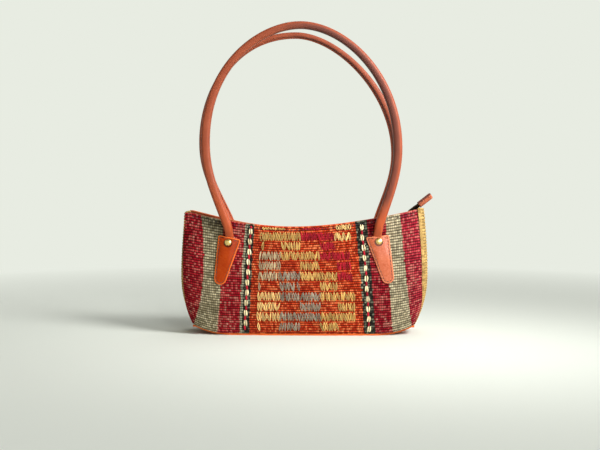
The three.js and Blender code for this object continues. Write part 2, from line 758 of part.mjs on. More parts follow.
// Each handle's arch: how far it spreads past its feet, its top, its lean, and how full its crown is.
const frontArch = {
  spread: FRONT_HANDLE_SPREAD,
  top: RIM_HEIGHT + FRONT_HANDLE_RISE,
  lean: FRONT_HANDLE_LEAN,
  up: FRONT_CROWN_UP,
  across: FRONT_CROWN_ACROSS,
};
const backArch = {
  spread: BACK_HANDLE_SPREAD,
  top: RIM_HEIGHT + BACK_HANDLE_RISE,
  lean: BACK_HANDLE_LEAN,
  up: BACK_CROWN_UP,
  across: BACK_CROWN_ACROSS,
};

// The foot stands clear of the panel where the panel is deepest beside it, at the tab's top edge.
function handleFootDepth(side) {
  const x = tabSpacing / 2;
  return Math.abs(panelPoint(x, levelAt(x, tabTopHeight, side), side, HANDLE_FOOT_RADIUS + FIT).y);
}

function handleCurve(arch) {
  const foot = tabSpacing / 2;
  const half = foot + arch.spread;
  const lean = degToRad(HANDLE_FOOT_LEAN);
  const rise = arch.top - handleWaistHeight;
  const at = (x, z) => new THREE.Vector3(x, 0, z);
  const leg = [
    [foot, footHeight],
    [foot + HANDLE_FOOT_REACH * Math.sin(lean), footHeight + HANDLE_FOOT_REACH * Math.cos(lean)],
    [half, handleWaistHeight - HANDLE_FOOT_REACH],
    [half, handleWaistHeight],
  ];
  const quarter = [
    [half, handleWaistHeight],
    [half, handleWaistHeight + arch.up * rise],
    [arch.across * half, arch.top],
    [0, arch.top],
  ];
  const curve = new THREE.CurvePath();
  curve.add(new THREE.CubicBezierCurve3(...leg.map(([x, z]) => at(-x, z))));
  curve.add(new THREE.CubicBezierCurve3(...quarter.map(([x, z]) => at(-x, z))));
  curve.add(new THREE.CubicBezierCurve3(...quarter.map(([x, z]) => at(x, z)).reverse()));
  curve.add(new THREE.CubicBezierCurve3(...leg.map(([x, z]) => at(x, z)).reverse()));
  return curve;
}

// The rolled strip's section, across the bag and inwards to the middle of the arch
function handleSection() {
  const turn = degToRad(HANDLE_ARC_TURN);
  const round = spread(HANDLE_ARC_SIDES, -turn, turn).map((angle) =>
    [HANDLE_CORE_RADIUS * Math.sin(angle), -HANDLE_CORE_RADIUS * Math.cos(angle)]);
  const half = HANDLE_SEAM_THICKNESS / 2;
  return [...round, [half, HANDLE_SEAM_REACH], [-half, HANDLE_SEAM_REACH]];
}

function handleGeometry(side, arch) {
  const curve = handleCurve(arch);
  const length = curve.getLength();
  const section = handleSection();
  const span = arch.top - footHeight;
  const up = new THREE.Vector3(0, 0, 1);

  // One ring of the strip: near a foot it lies level and is slimmer, so that it can turn over the tab.
  const ring = (share, drop, shrink) => {
    const place = curve.getPointAt(share);
    const fromFoot = Math.min(share, 1 - share) * length;
    const settled = smoothstep(fromFoot, 0, HANDLE_FOOT_TAPER);
    const tangent = curve.getTangentAt(share);
    const level = share < 0.5 ? up : up.clone().negate();
    const direction = level.clone().lerp(tangent, settled).normalize();
    const inward = new THREE.Vector3(direction.z, 0, -direction.x);
    const slim = lerp(HANDLE_FOOT_RADIUS / HANDLE_CORE_RADIUS, 1, settled) * shrink;
    const rise = (place.z - footHeight) / span;
    place.x += arch.lean * (1 - (1 - rise) ** 2);
    place.y = side * (handleFootDepth(side) + HANDLE_SPLAY * rise);
    place.z -= drop;
    const seam = lerp(HANDLE_FOOT_RADIUS / HANDLE_SEAM_REACH, 1, settled);
    return section.map(([out, towards]) => {
      const depth = towards > HANDLE_CORE_RADIUS ? towards * seam : towards;
      return place.clone().addScaledVector(inward, depth * slim).add(new THREE.Vector3(0, out * slim, 0));
    });
  };
  const footTurns = spread(FOOT_RINGS, degToRad(FOOT_LAST_TURN), 0).slice(0, -1);
  const foot = (share) =>
    footTurns.map((turn) => ring(share, HANDLE_FOOT_RADIUS * Math.sin(turn), Math.cos(turn)));
  const along = spread(HANDLE_STEPS + 1, 0, 1).map((share) => ring(share, 0, 1));
  return loftGeometry([...foot(0), ...along, ...foot(1).reverse()]);
}

addPart("front_handle", handleGeometry(FRONT, frontArch), MATERIALS.leather);
addPart("back_handle", handleGeometry(BACK, backArch), MATERIALS.leather);

export default bag;
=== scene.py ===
"""Looks of a kilim baguette bag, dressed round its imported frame.

Sizes are in millimetres until a mesh is made. +X runs along the bag to the zip pull, -Y to the front
and +Z up. The wool, leather and metal are procedural, and every random draw is seeded.
"""
from __future__ import annotations

import itertools
import logging
from dataclasses import dataclass, field
from enum import Enum
from functools import cache
from math import acos, cos, degrees, pi, radians, sin, tan
from typing import Callable, Sequence

import bpy
import numpy as np
from mathutils import Euler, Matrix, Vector

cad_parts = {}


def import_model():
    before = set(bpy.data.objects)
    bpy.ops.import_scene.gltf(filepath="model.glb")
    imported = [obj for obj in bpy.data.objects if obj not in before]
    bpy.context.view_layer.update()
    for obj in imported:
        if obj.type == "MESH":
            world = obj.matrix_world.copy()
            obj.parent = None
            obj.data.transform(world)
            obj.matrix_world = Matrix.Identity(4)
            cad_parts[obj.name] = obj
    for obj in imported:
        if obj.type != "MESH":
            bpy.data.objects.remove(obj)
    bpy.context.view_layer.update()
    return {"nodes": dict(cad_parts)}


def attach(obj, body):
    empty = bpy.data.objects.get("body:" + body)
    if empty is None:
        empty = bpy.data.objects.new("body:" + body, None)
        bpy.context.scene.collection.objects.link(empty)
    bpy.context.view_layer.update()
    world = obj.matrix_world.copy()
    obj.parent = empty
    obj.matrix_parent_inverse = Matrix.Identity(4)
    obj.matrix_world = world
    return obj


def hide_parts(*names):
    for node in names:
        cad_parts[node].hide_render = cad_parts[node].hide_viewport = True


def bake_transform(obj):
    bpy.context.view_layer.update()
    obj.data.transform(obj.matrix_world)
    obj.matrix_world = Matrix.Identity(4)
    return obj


LOG = logging.getLogger("kilim_bag")
MM = 0.001
SEED = 41
GUSSET_SEED = SEED + 10
BROCADE_SEED = SEED + 20

Array = np.ndarray
Values = np.ndarray | float
Pair = tuple[float, float]
Colour = tuple[float, float, float, float]
Object = bpy.types.Object
Material = bpy.types.Material
Socket = bpy.types.NodeSocket


class Way(Enum):
    """A side or an end of the bag, with the sign of its direction."""

    @property
    def word(self) -> str:
        """The word for it in the names of pieces."""
        return self.name.lower()


class Side(Way):
    """The bag's two long faces, with the sign of their Y."""

    FRONT = -1
    BACK = 1


class End(Way):
    """The bag's two ends, with the sign of their X."""

    LEFT = -1
    RIGHT = 1


def srgb(*channels: float) -> Colour:
    """Turns a colour on the usual 0 to 255 scale into a linear one.

    Args:
        channels: Red, green and blue.

    Returns:
        The linear colour with full alpha.
    """
    shares = [value / 255 for value in channels]
    linear = [share / 12.92 if share <= 0.04045 else ((share + 0.055) / 1.055) ** 2.4 for share in shares]
    return (*linear, 1.0)


def smoothstep(value: Values, low: float, high: float) -> Array:
    """Rises smoothly from 0 at low to 1 at high."""
    share = np.clip((np.asarray(value, float) - low) / (high - low), 0, 1)
    return share * share * (3 - 2 * share)


def blend(low: Values, high: Values, share: Values) -> Array:
    """Goes from low to high as the share goes from 0 to 1."""
    return low + (high - low) * share


def unit(vectors: Array) -> Array:
    """Gives vectors the length 1."""
    return vectors / np.maximum(np.linalg.norm(vectors, axis=-1, keepdims=True), 1e-9)


def distances(line: Array) -> Array:
    """Distance of each of a line's points from its start, along the line."""
    steps = np.linalg.norm(np.diff(line, axis=0), axis=1)
    return np.concatenate([[0], np.cumsum(steps)])


def resample(points: Array, count: int, closed: bool = False) -> Array:
    """Spaces points evenly along a line.

    Args:
        points: Points of the line, one a row.
        count: How many points to return.
        closed: Whether the line runs back to its start.

    Returns:
        Evenly spaced points; a closed line doesn't repeat its first one.
    """
    line = np.vstack([points, points[:1]]) if closed else points
    along = distances(line)
    places = np.linspace(0, along[-1], count, endpoint=not closed)
    return np.stack([np.interp(places, along, line[:, axis]) for axis in range(line.shape[1])], axis=1)


def bezier(corners: Sequence[Sequence[float]], count: int) -> Array:
    """Points of a cubic curve.

    Args:
        corners: The curve's four control points.
        count: How many points to return.

    Returns:
        Points along the curve, one a row.
    """
    a, b, c, d = (np.asarray(corner, float) for corner in corners)
    share = np.linspace(0, 1, count)[:, None]
    rest = 1 - share
    return rest ** 3 * a + 3 * rest ** 2 * share * b + 3 * rest * share ** 2 * c + share ** 3 * d


def through(points: Array, count: int) -> Array:
    """A smooth line through given points.

    Args:
        points: The points, one a row.
        count: How many points to place between each two of them.

    Returns:
        Points along the smooth line.
    """
    padded = np.vstack([2 * points[0] - points[1], points, 2 * points[-1] - points[-2]])
    share = np.linspace(0, 1, count, endpoint=False)[:, None]
    spans = []
    for a, b, c, d in zip(padded, padded[1:], padded[2:], padded[3:]):
        cubic = (3 * b - a - 3 * c + d) * share ** 3 + (2 * a - 5 * b + 4 * c - d) * share ** 2
        spans.append((cubic + (c - a) * share + 2 * b) / 2)
    return np.vstack([*spans, points[-1:]])


def circle(count: int) -> Array:
    """Even angles round a circle."""
    return np.arange(count) / count * 2 * pi


def chamfered(wide: float, high: float, flat_wide: float, flat_high: float) -> Array:
    """Corners of a box section whose own corners are cut off."""
    lower = np.array([(-wide, -flat_high), (-flat_wide, -high), (flat_wide, -high), (wide, -flat_high)])
    return np.vstack([lower, -lower])


# Meshes

def in_scene(name: str, data: bpy.types.ID) -> Object:
    """Makes an object of a mesh, a lamp or a camera, and puts it in the scene.

    Args:
        name: Name of the object.
        data: The mesh, lamp or camera.

    Returns:
        The object.
    """
    made = bpy.data.objects.new(name, data)
    bpy.context.scene.collection.objects.link(made)
    return made


def aimed(way: Vector) -> Euler:
    """Turn of a lamp or camera that looks along a direction."""
    return way.to_track_quat("-Z", "Y").to_euler()


@dataclass
class Build:
    """Points and faces of one piece, gathered in millimetres before its mesh is made.

    Every point has a shade. In wool it runs from 0 in a furrow to 1 on a crest, and the wool and yarn paint
    it in as shade in the furrows and light on the crests. In leather it runs from -1, for painted shade and
    for dark cut edges, over 0, to 1 on a pale edge.
    """

    points: list[Array] = field(default_factory=list)
    shades: list[Array] = field(default_factory=list)
    faces: list[list[int]] = field(default_factory=list)
    slots: list[int] = field(default_factory=list)
    tones: list[float] = field(default_factory=list)
    count: int = 0

    def add(self, points: Array, faces: list[list[int]], slot: int = 0, shade: Values = 0.0) -> None:
        """Adds points and the faces between them.

        Args:
            points: Points, in rows.
            faces: Faces as indices into those points.
            slot: Which of the piece's materials the faces take.
            shade: Shade of every point, or of each.
        """
        self.points.append(points.reshape(-1, 3))
        self.shades.append(np.broadcast_to(shade, points.shape[:-1]).ravel())
        self.faces += [[corner + self.count for corner in face] for face in faces]
        self.slots += [slot] * len(faces)
        self.count += points.size // 3

    def grid(self, points: Array, slot: int = 0, wrap: bool = False, caps: bool = False,
             shade: Values = 0.0) -> None:
        """Adds a skin over rows of points.

        Args:
            points: Points as rows, columns and coordinates.
            slot: Which of the piece's materials the faces take.
            wrap: Whether each row closes on itself.
            caps: Whether the first and last rows get a face each.
            shade: Shade of every point, or of each.
        """
        rows, columns = points.shape[:2]
        reach = columns if wrap else columns - 1
        row, column = np.meshgrid(np.arange(rows - 1), np.arange(reach), indexing="ij")
        here = row * columns + column
        beside = row * columns + (column + 1) % columns
        faces = np.stack([here, beside, beside + columns, here + columns], axis=-1).reshape(-1, 4).tolist()
        if caps:
            last = (rows - 1) * columns
            faces += [list(range(columns))[::-1], list(range(last, last + columns))]
        self.add(points, faces, slot, shade)

    def strand(self, path: Array, width: Array, height: Array, out: Array, slot: int = 0,
               sides: int = 6) -> None:
        """Adds a yarn, thread or cord with an oval section along a path.

        Args:
            path: Middle line, one point a row.
            width: Half widths along the path.
            height: Half heights along the path, towards out.
            out: Direction in which the height is measured.
            slot: Which of the piece's materials the faces take.
            sides: Points round the section.
        """
        tangent = unit(np.gradient(path, axis=0))
        across = unit(np.cross(tangent, out))
        upward = unit(np.cross(across, tangent))
        turn = circle(sides)
        wide = across[:, None, :] * (width[:, None] * np.cos(turn))[..., None]
        high = upward[:, None, :] * (height[:, None] * np.sin(turn))[..., None]
        # Shade runs from 0 on the section's underside to 1 on top; the brocade's yarn paints it in as shade
        # on the sides and light along the top
        self.grid(path[:, None, :] + wide + high, slot, wrap=True, caps=True, shade=(1 + np.sin(turn)) / 2)

    def piece(self, name: str, *finishes: Finish, weld: float = 0.0) -> Object:
        """Makes the mesh and its object.

        Args:
            name: Name of the piece.
            finishes: Finishes in the order of the faces' slots.
            weld: Distance in millimetres within which points are joined, or 0.

        Returns:
            The object, in the scene.
        """
        mesh = bpy.data.meshes.new(name)
        mesh.from_pydata((np.vstack(self.points) * MM).tolist(), [], self.faces)
        for finish in finishes:
            mesh.materials.append(finish.material())
        mesh.polygons.foreach_set("material_index", self.slots)
        mesh.polygons.foreach_set("use_smooth", [True] * len(mesh.polygons))
        mesh.validate()
        mesh.update()
        made = in_scene(name, mesh)
        paint(made, "shade", np.concatenate(self.shades), "POINT")
        if weld:
            merge = made.modifiers.new("weld", "WELD")
            merge.merge_threshold = weld * MM
        return made


def paint(piece: Object, name: str, values: Array, domain: str) -> None:
    """Writes a named value for each point or face of a piece."""
    attribute = piece.data.attributes.new(name, "FLOAT", domain)
    attribute.data.foreach_set("value", values.astype(np.float32).ravel())


def settle(piece: Object, body: str, slot: str, *nodes: str) -> None:
    """Puts a piece on its body, in the place of the frame's nodes that it stands for.

    Args:
        piece: The piece.
        body: Body that it moves with.
        slot: Slot of the record that its finish belongs to; not used.
        nodes: Nodes that it stands for.
    """
    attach(piece, body)
    if nodes:
        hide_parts(*nodes)
    LOG.info("%s on %s, %d faces", piece.name, body, len(piece.data.polygons))


# Finishes

class Shader:
    """A material's nodes, with short calls to add and join them."""

    def __init__(self, name: str) -> None:
        """Starts a material with one principled shader.

        Args:
            name: Name of the material.
        """
        self.material = bpy.data.materials.new(name)
        self.material.use_nodes = True
        self.tree = self.material.node_tree
        self.bsdf = self.tree.nodes["Principled BSDF"]

    def put(self, socket: Socket, value: object) -> None:
        """Sets a socket, or links it where the value is another node's socket.

        Args:
            socket: The socket.
            value: A value or a socket.
        """
        if isinstance(value, Socket):
            self.tree.links.new(value, socket)
        else:
            socket.default_value = value

    def node(self, kind: str, inputs: dict[str | int, object] | None = None,
             **settings: object) -> bpy.types.Node:
        """Adds a node.

        Args:
            kind: Blender's name of the node, without ShaderNode.
            inputs: Values or sockets for its inputs, by name or number.
            settings: Properties of the node.

        Returns:
            The node.
        """
        made = self.tree.nodes.new("ShaderNode" + kind)
        for name, value in settings.items():
            setattr(made, name, value)
        for name, value in (inputs or {}).items():
            self.put(made.inputs[name], value)
        return made

    def attribute(self, name: str) -> Socket:
        """The value that a piece's mesh keeps under a name."""
        return self.node("Attribute", attribute_name=name).outputs["Fac"]

    def place(self) -> Socket:
        """The place on the piece, in metres."""
        return self.node("TexCoord").outputs["Object"]

    def noise(self, scale: float, detail: float) -> Socket:
        """Soft noise from 0 to 1 over the piece, in waves a metre."""
        inputs = {"Scale": scale, "Detail": detail, "Vector": self.place()}
        return self.node("TexNoise", inputs).outputs["Fac"]

    def mapped(self, value: Socket, low: float, high: float, to_low: float, to_high: float) -> Socket:
        """Takes a range of values to another, held at its ends."""
        inputs = {0: value, 1: low, 2: high, 3: to_low, 4: to_high}
        return self.node("MapRange", inputs, clamp=True).outputs[0]

    def maths(self, operation: str, first: object, second: object) -> Socket:
        """Works out two values by an operation, in Blender's name."""
        return self.node("Math", {0: first, 1: second}, operation=operation).outputs[0]

    def mix(self, share: object, first: object, second: object, kind: str = "MIX") -> Socket:
        """Mixes two colours by the share of the second, in a way that Blender names."""
        inputs = {0: share, 6: first, 7: second}
        return self.node("Mix", inputs, data_type="RGBA", blend_type=kind).outputs[2]

    def shade(self, colour: Socket, value: Socket) -> Socket:
        """Scales a colour's brightness by a value."""
        grey = self.node("CombineColor", {0: value, 1: value, 2: value}).outputs[0]
        return self.mix(1.0, colour, grey, "MULTIPLY")

    def ramp(self, value: Socket, colours: Sequence[Colour]) -> Socket:
        """Picks one of several colours by a value from 0 to 1, in equal steps.

        Args:
            value: The value.
            colours: The colours in order.

        Returns:
            The picked colour's socket.
        """
        made = self.node("ValToRGB", {0: value})
        made.color_ramp.interpolation = "CONSTANT"
        steps = made.color_ramp.elements
        for index, colour in enumerate(colours):
            place = index / len(colours)
            step = steps[index] if index < len(steps) else steps.new(place)
            step.position = place
            step.color = colour
        return made.outputs["Color"]

    def bump(self, height: Socket, strength: float, distance: float) -> None:
        """Roughens the surface by a height from 0 to 1, over a distance in metres."""
        inputs = {"Height": height, "Strength": strength, "Distance": distance}
        self.put(self.bsdf.inputs["Normal"], self.node("Bump", inputs).outputs["Normal"])

    def surface(self, colour: object, roughness: object, **plain: float) -> Material:
        """Sets the shader's main sockets.

        Args:
            colour: Colour or socket.
            roughness: Value or socket.
            plain: Other sockets by name, with _ for a space.

        Returns:
            The finished material.
        """
        self.put(self.bsdf.inputs["Base Color"], colour)
        self.put(self.bsdf.inputs["Roughness"], roughness)
        for name, value in plain.items():
            self.put(self.bsdf.inputs[name.replace("_", " ")], value)
        return self.material


@dataclass(frozen=True)
class Finish:
    """A finish, by the name of its material."""

    name: str

    def material(self) -> Material:
        """The finish's material, which each kind of finish makes once."""
        raise NotImplementedError


@dataclass(frozen=True)
class WovenWool(Finish):
    """Weft-faced wool in bands of colour, with flecked beads, painted shade in the furrows between the ribs
    and painted light on the crests.
    """

    bands: tuple[Colour, ...]
    flecks: tuple[Colour, ...]
    fleck_share: float = 0.6
    # Brightness of the painted shade at the bottom of a furrow
    furrow: float = 0.18
    roughness: float = 0.92

    @cache
    def material(self) -> Material:
        """Makes the material, which reads the cloth's band and tone, and each point's shade as painted shade
        in the furrows and painted light on the crests.

        Returns:
            The material.
        """
        shader = Shader(self.name)
        band = shader.attribute("band")
        tone = shader.attribute("tone")
        colour = shader.ramp(band, self.bands)
        pale = shader.mapped(tone, 0.4, 1.0, 0.0, self.fleck_share)
        patchy = shader.mapped(shader.noise(45, 2), 0.35, 0.65, 0.35, 1.2)
        pale = shader.maths("MULTIPLY", pale, patchy)
        colour = shader.mix(pale, colour, shader.ramp(band, self.flecks))
        colour = shader.shade(colour, shader.mapped(tone, 0.0, 0.7, 0.62, 1.1))
        colour = shader.shade(colour, shader.mapped(shader.noise(38, 3), 0.3, 0.7, 0.86, 1.12))
        # Painted shade and light: each point's relief darkens the furrows and brightens the crests
        colour = shader.shade(colour, shader.mapped(shader.attribute("shade"), 0.1, 0.8, self.furrow, 1.3))
        shader.bump(shader.noise(2600, 3), 0.5, 0.0004)
        return shader.surface(colour, self.roughness, Specular_IOR_Level=0.08)


@dataclass(frozen=True)
class Yarn(Finish):
    """One colour of brocade or chain yarn: soft, matte and unevenly dyed."""

    colour: Colour
    shade_colour: Colour

    @cache
    def material(self) -> Material:
        """Makes the material, which reads each stitch's tone, and each point's shade as painted shade and
        painted light.

        Returns:
            The material.
        """
        shader = Shader(self.name)
        dye = shader.mapped(shader.noise(260, 3), 0.35, 0.7, 0.0, 1.0)
        colour = shader.mix(dye, self.colour, self.shade_colour)
        colour = shader.shade(colour, shader.mapped(shader.attribute("tone"), 0.0, 1.0, 0.6, 1.24))
        # Painted shade on the strands' sides and undersides and painted light along their tops
        colour = shader.shade(colour, shader.mapped(shader.attribute("shade"), 0.45, 0.95, 0.16, 1.25))
        shader.bump(shader.noise(1900, 3), 0.6, 0.0005)
        return shader.surface(colour, 0.88, Specular_IOR_Level=0.2)


@dataclass(frozen=True)
class TanLeather(Finish):
    """Smooth tanned leather with a fine grain and cloudy dye, dark in painted shade and on dark cut edges,
    pale at cut edges.
    """

    colour: Colour
    deep: Colour
    pale: Colour
    edge: Colour
    worn: Colour
    mottle: float = 0.4
    roughness: float = 0.3
    sheen: float = 0.2

    @cache
    def material(self) -> Material:
        """Makes the material, which reads each point's shade.

        Returns:
            The material.
        """
        shader = Shader(self.name)
        cloud = shader.mapped(shader.noise(55, 4), 0.34, 0.7, 0.0, 1.0)
        colour = shader.mix(cloud, self.colour, self.deep)
        fine = shader.mapped(shader.noise(420, 3), 0.45, 0.75, 0.0, self.mottle)
        colour = shader.mix(fine, colour, self.pale)
        shade = shader.attribute("shade")
        colour = shader.mix(shader.mapped(shade, 0.0, 1.0, 0.0, 0.9), colour, self.edge)
        # Negative shades mix in the dark colour: painted shade in grooves, round the rivets and on the
        # handles, and the pull strip's dark cut edges
        colour = shader.mix(shader.mapped(shade, -1.0, 0.0, 0.9, 0.0), colour, self.worn)
        grain = shader.node("TexVoronoi", {"Scale": 1500.0, "Vector": shader.place()})
        shader.bump(grain.outputs["Distance"], 0.4 * self.mottle, 0.0003)
        rough = shader.mapped(shader.noise(130, 3), 0.3, 0.7, self.roughness - 0.05, self.roughness + 0.07)
        return shader.surface(colour, rough, Specular_IOR_Level=self.sheen)


@dataclass(frozen=True)
class Thread(Finish):
    """Waxed sewing thread."""

    colour: Colour

    @cache
    def material(self) -> Material:
        """Makes the material, with the thread's twist as fine noise.

        Returns:
            The material.
        """
        shader = Shader(self.name)
        dark = tuple(0.5 * value for value in self.colour[:3]) + (1.0,)
        colour = shader.mix(shader.mapped(shader.noise(1500, 2), 0.3, 0.7, 0.0, 1.0), dark, self.colour)
        shader.bump(shader.noise(2500, 2), 0.4, 0.0003)
        return shader.surface(colour, 0.7)


@dataclass(frozen=True)
class PlainCloth(Finish):
    """Plain woven cotton or tape."""

    colour: Colour
    deep: Colour
    threads: float

    @cache
    def material(self) -> Material:
        """Makes the material, with crossing threads as its weave.

        Returns:
            The material.
        """
        shader = Shader(self.name)
        inputs = {"Scale": self.threads, "Vector": shader.place()}
        waves = [shader.node("TexWave", inputs, bands_direction=way) for way in ("X", "DIAGONAL")]
        weave = shader.maths("MULTIPLY", *(wave.outputs["Fac"] for wave in waves))
        colour = shader.mix(weave, self.deep, self.colour)
        shader.bump(weave, 0.5, 0.0003)
        return shader.surface(colour, 0.9)


@dataclass(frozen=True)
class Metal(Finish):
    """Cast brass, polished or darkened, a little uneven and with dull spots."""

    colour: Colour
    tarnish: Colour
    roughness: float

    @cache
    def material(self) -> Material:
        """Makes the material, with spots of tarnish.

        Returns:
            The material.
        """
        shader = Shader(self.name)
        spots = shader.mapped(shader.noise(700, 4), 0.5, 0.8, 0.0, 0.7)
        colour = shader.mix(spots, self.colour, self.tarnish)
        rough = shader.mapped(shader.noise(900, 3), 0.3, 0.75, self.roughness, self.roughness + 0.18)
        shader.bump(shader.noise(1200, 2), 0.08, 0.0002)
        return shader.surface(colour, rough, Metallic=1.0)


@dataclass(frozen=True)
class PaleFloor(Finish):
    """A pale floor that keeps the shadow near the bag and is plain further out."""

    colour: Colour
    shadow_end: float = 0.2
    plain_start: float = 1.2

    @cache
    def material(self) -> Material:
        """Makes the material, which glows evenly away from the bag.

        Returns:
            The material.
        """
        shader = Shader(self.name)
        ray = shader.node("LightPath").outputs
        seen = shader.maths("MAXIMUM", ray["Is Camera Ray"], ray["Is Glossy Ray"])
        seen = shader.maths("MAXIMUM", seen, ray["Is Transmission Ray"])
        far = shader.node("VectorMath", {0: shader.place()}, operation="LENGTH").outputs["Value"]
        plain = shader.mapped(far, self.shadow_end, self.plain_start, 0.0, 1.0)
        share = shader.maths("MULTIPLY", seen, plain)
        glow = shader.node("Emission", {"Color": self.colour, "Strength": 1.0})
        mixed = shader.node("MixShader", {0: share, 1: shader.bsdf.outputs[0], 2: glow.outputs[0]})
        shader.put(shader.tree.nodes["Material Output"].inputs["Surface"], mixed.outputs[0])
        return shader.surface(self.colour, 0.9)


CRIMSON = srgb(162, 24, 36)
WINE = srgb(146, 20, 34)
ROSE = srgb(166, 40, 54)
STONE = srgb(170, 157, 126)
SLATE = srgb(150, 138, 107)
MOSS = srgb(150, 148, 122)
CHARCOAL = srgb(46, 44, 38)
RUST = srgb(185, 52, 23)
MUSTARD = srgb(182, 146, 86)
PINK = srgb(182, 128, 110)
CHALK = srgb(192, 182, 152)
SAGE = srgb(158, 162, 136)
EMBER = srgb(228, 136, 82)
STRAW = srgb(200, 170, 108)

STRIPED_WOOL = WovenWool(
    "striped_wool",
    (CRIMSON, SLATE, CRIMSON, MOSS, CHARCOAL, RUST, CHARCOAL, WINE, STONE, ROSE),
    (PINK, CHALK, PINK, CHALK, SAGE, EMBER, SAGE, PINK, CHALK, PINK))
GUSSET_WOOL = WovenWool("mustard_wool", (MUSTARD,), (STRAW,), furrow=0.62)

YARNS = (
    Yarn("ochre_yarn", srgb(218, 178, 104), srgb(190, 145, 74)),
    Yarn("cream_yarn", srgb(244, 206, 134), srgb(224, 178, 106)),
    Yarn("ecru_yarn", srgb(204, 180, 140), srgb(158, 138, 106)),
    Yarn("grey_yarn", srgb(164, 152, 128), srgb(118, 106, 94)),
    Yarn("crimson_yarn", srgb(180, 30, 46), srgb(144, 22, 36)),
    Yarn("bead_yarn", srgb(244, 226, 184), srgb(224, 200, 150)),
)

LEATHER = TanLeather("tan_leather", srgb(162, 56, 7), srgb(146, 44, 4), srgb(176, 72, 20), srgb(228, 112, 48),
                     srgb(64, 24, 12), sheen=0.12)
# A paler copy of the tan leather: painted sheen on the right-hand tabs, where the light falls; the pull's
# strip takes it too
PALE_LEATHER_WITH_PAINTED_SHEEN = TanLeather("pale_leather_painted_sheen", srgb(188, 98, 64), srgb(174, 84, 54), srgb(204, 120, 86),
                            srgb(216, 126, 86), srgb(92, 56, 50), mottle=0.7)
# Its dark colour is painted shade, with a painted grey reflection, on the handles' inner sides
HANDLE_LEATHER = TanLeather("handle_leather", srgb(158, 78, 50), srgb(146, 68, 42), srgb(168, 90, 62),
                            srgb(184, 80, 36), srgb(66, 42, 41), mottle=0.04, roughness=0.45, sheen=0.25)
FACING_LEATHER = TanLeather("facing_leather", srgb(176, 82, 44), srgb(152, 66, 32), srgb(192, 102, 62),
                            srgb(226, 132, 88), srgb(96, 46, 30))
DARK_THREAD = Thread("dark_thread", srgb(84, 58, 48))
TAN_THREAD = Thread("tan_thread", srgb(156, 76, 48))
NAVY_THREAD = Thread("navy_thread", srgb(46, 50, 74))
COTTON = PlainCloth("lining_cotton", srgb(214, 204, 180), srgb(186, 174, 148), 900.0)
TAPE_CLOTH = PlainCloth("zip_tape", srgb(92, 58, 40), srgb(62, 38, 26), 700.0)
BRASS = Metal("rivet_brass", srgb(222, 196, 124), srgb(168, 136, 70), 0.22)
DARK_BRASS = Metal("zip_brass", srgb(96, 84, 70), srgb(52, 44, 40), 0.34)
PALE_FLOOR = PaleFloor("pale_floor", srgb(232, 236, 226))


# The bag's wall

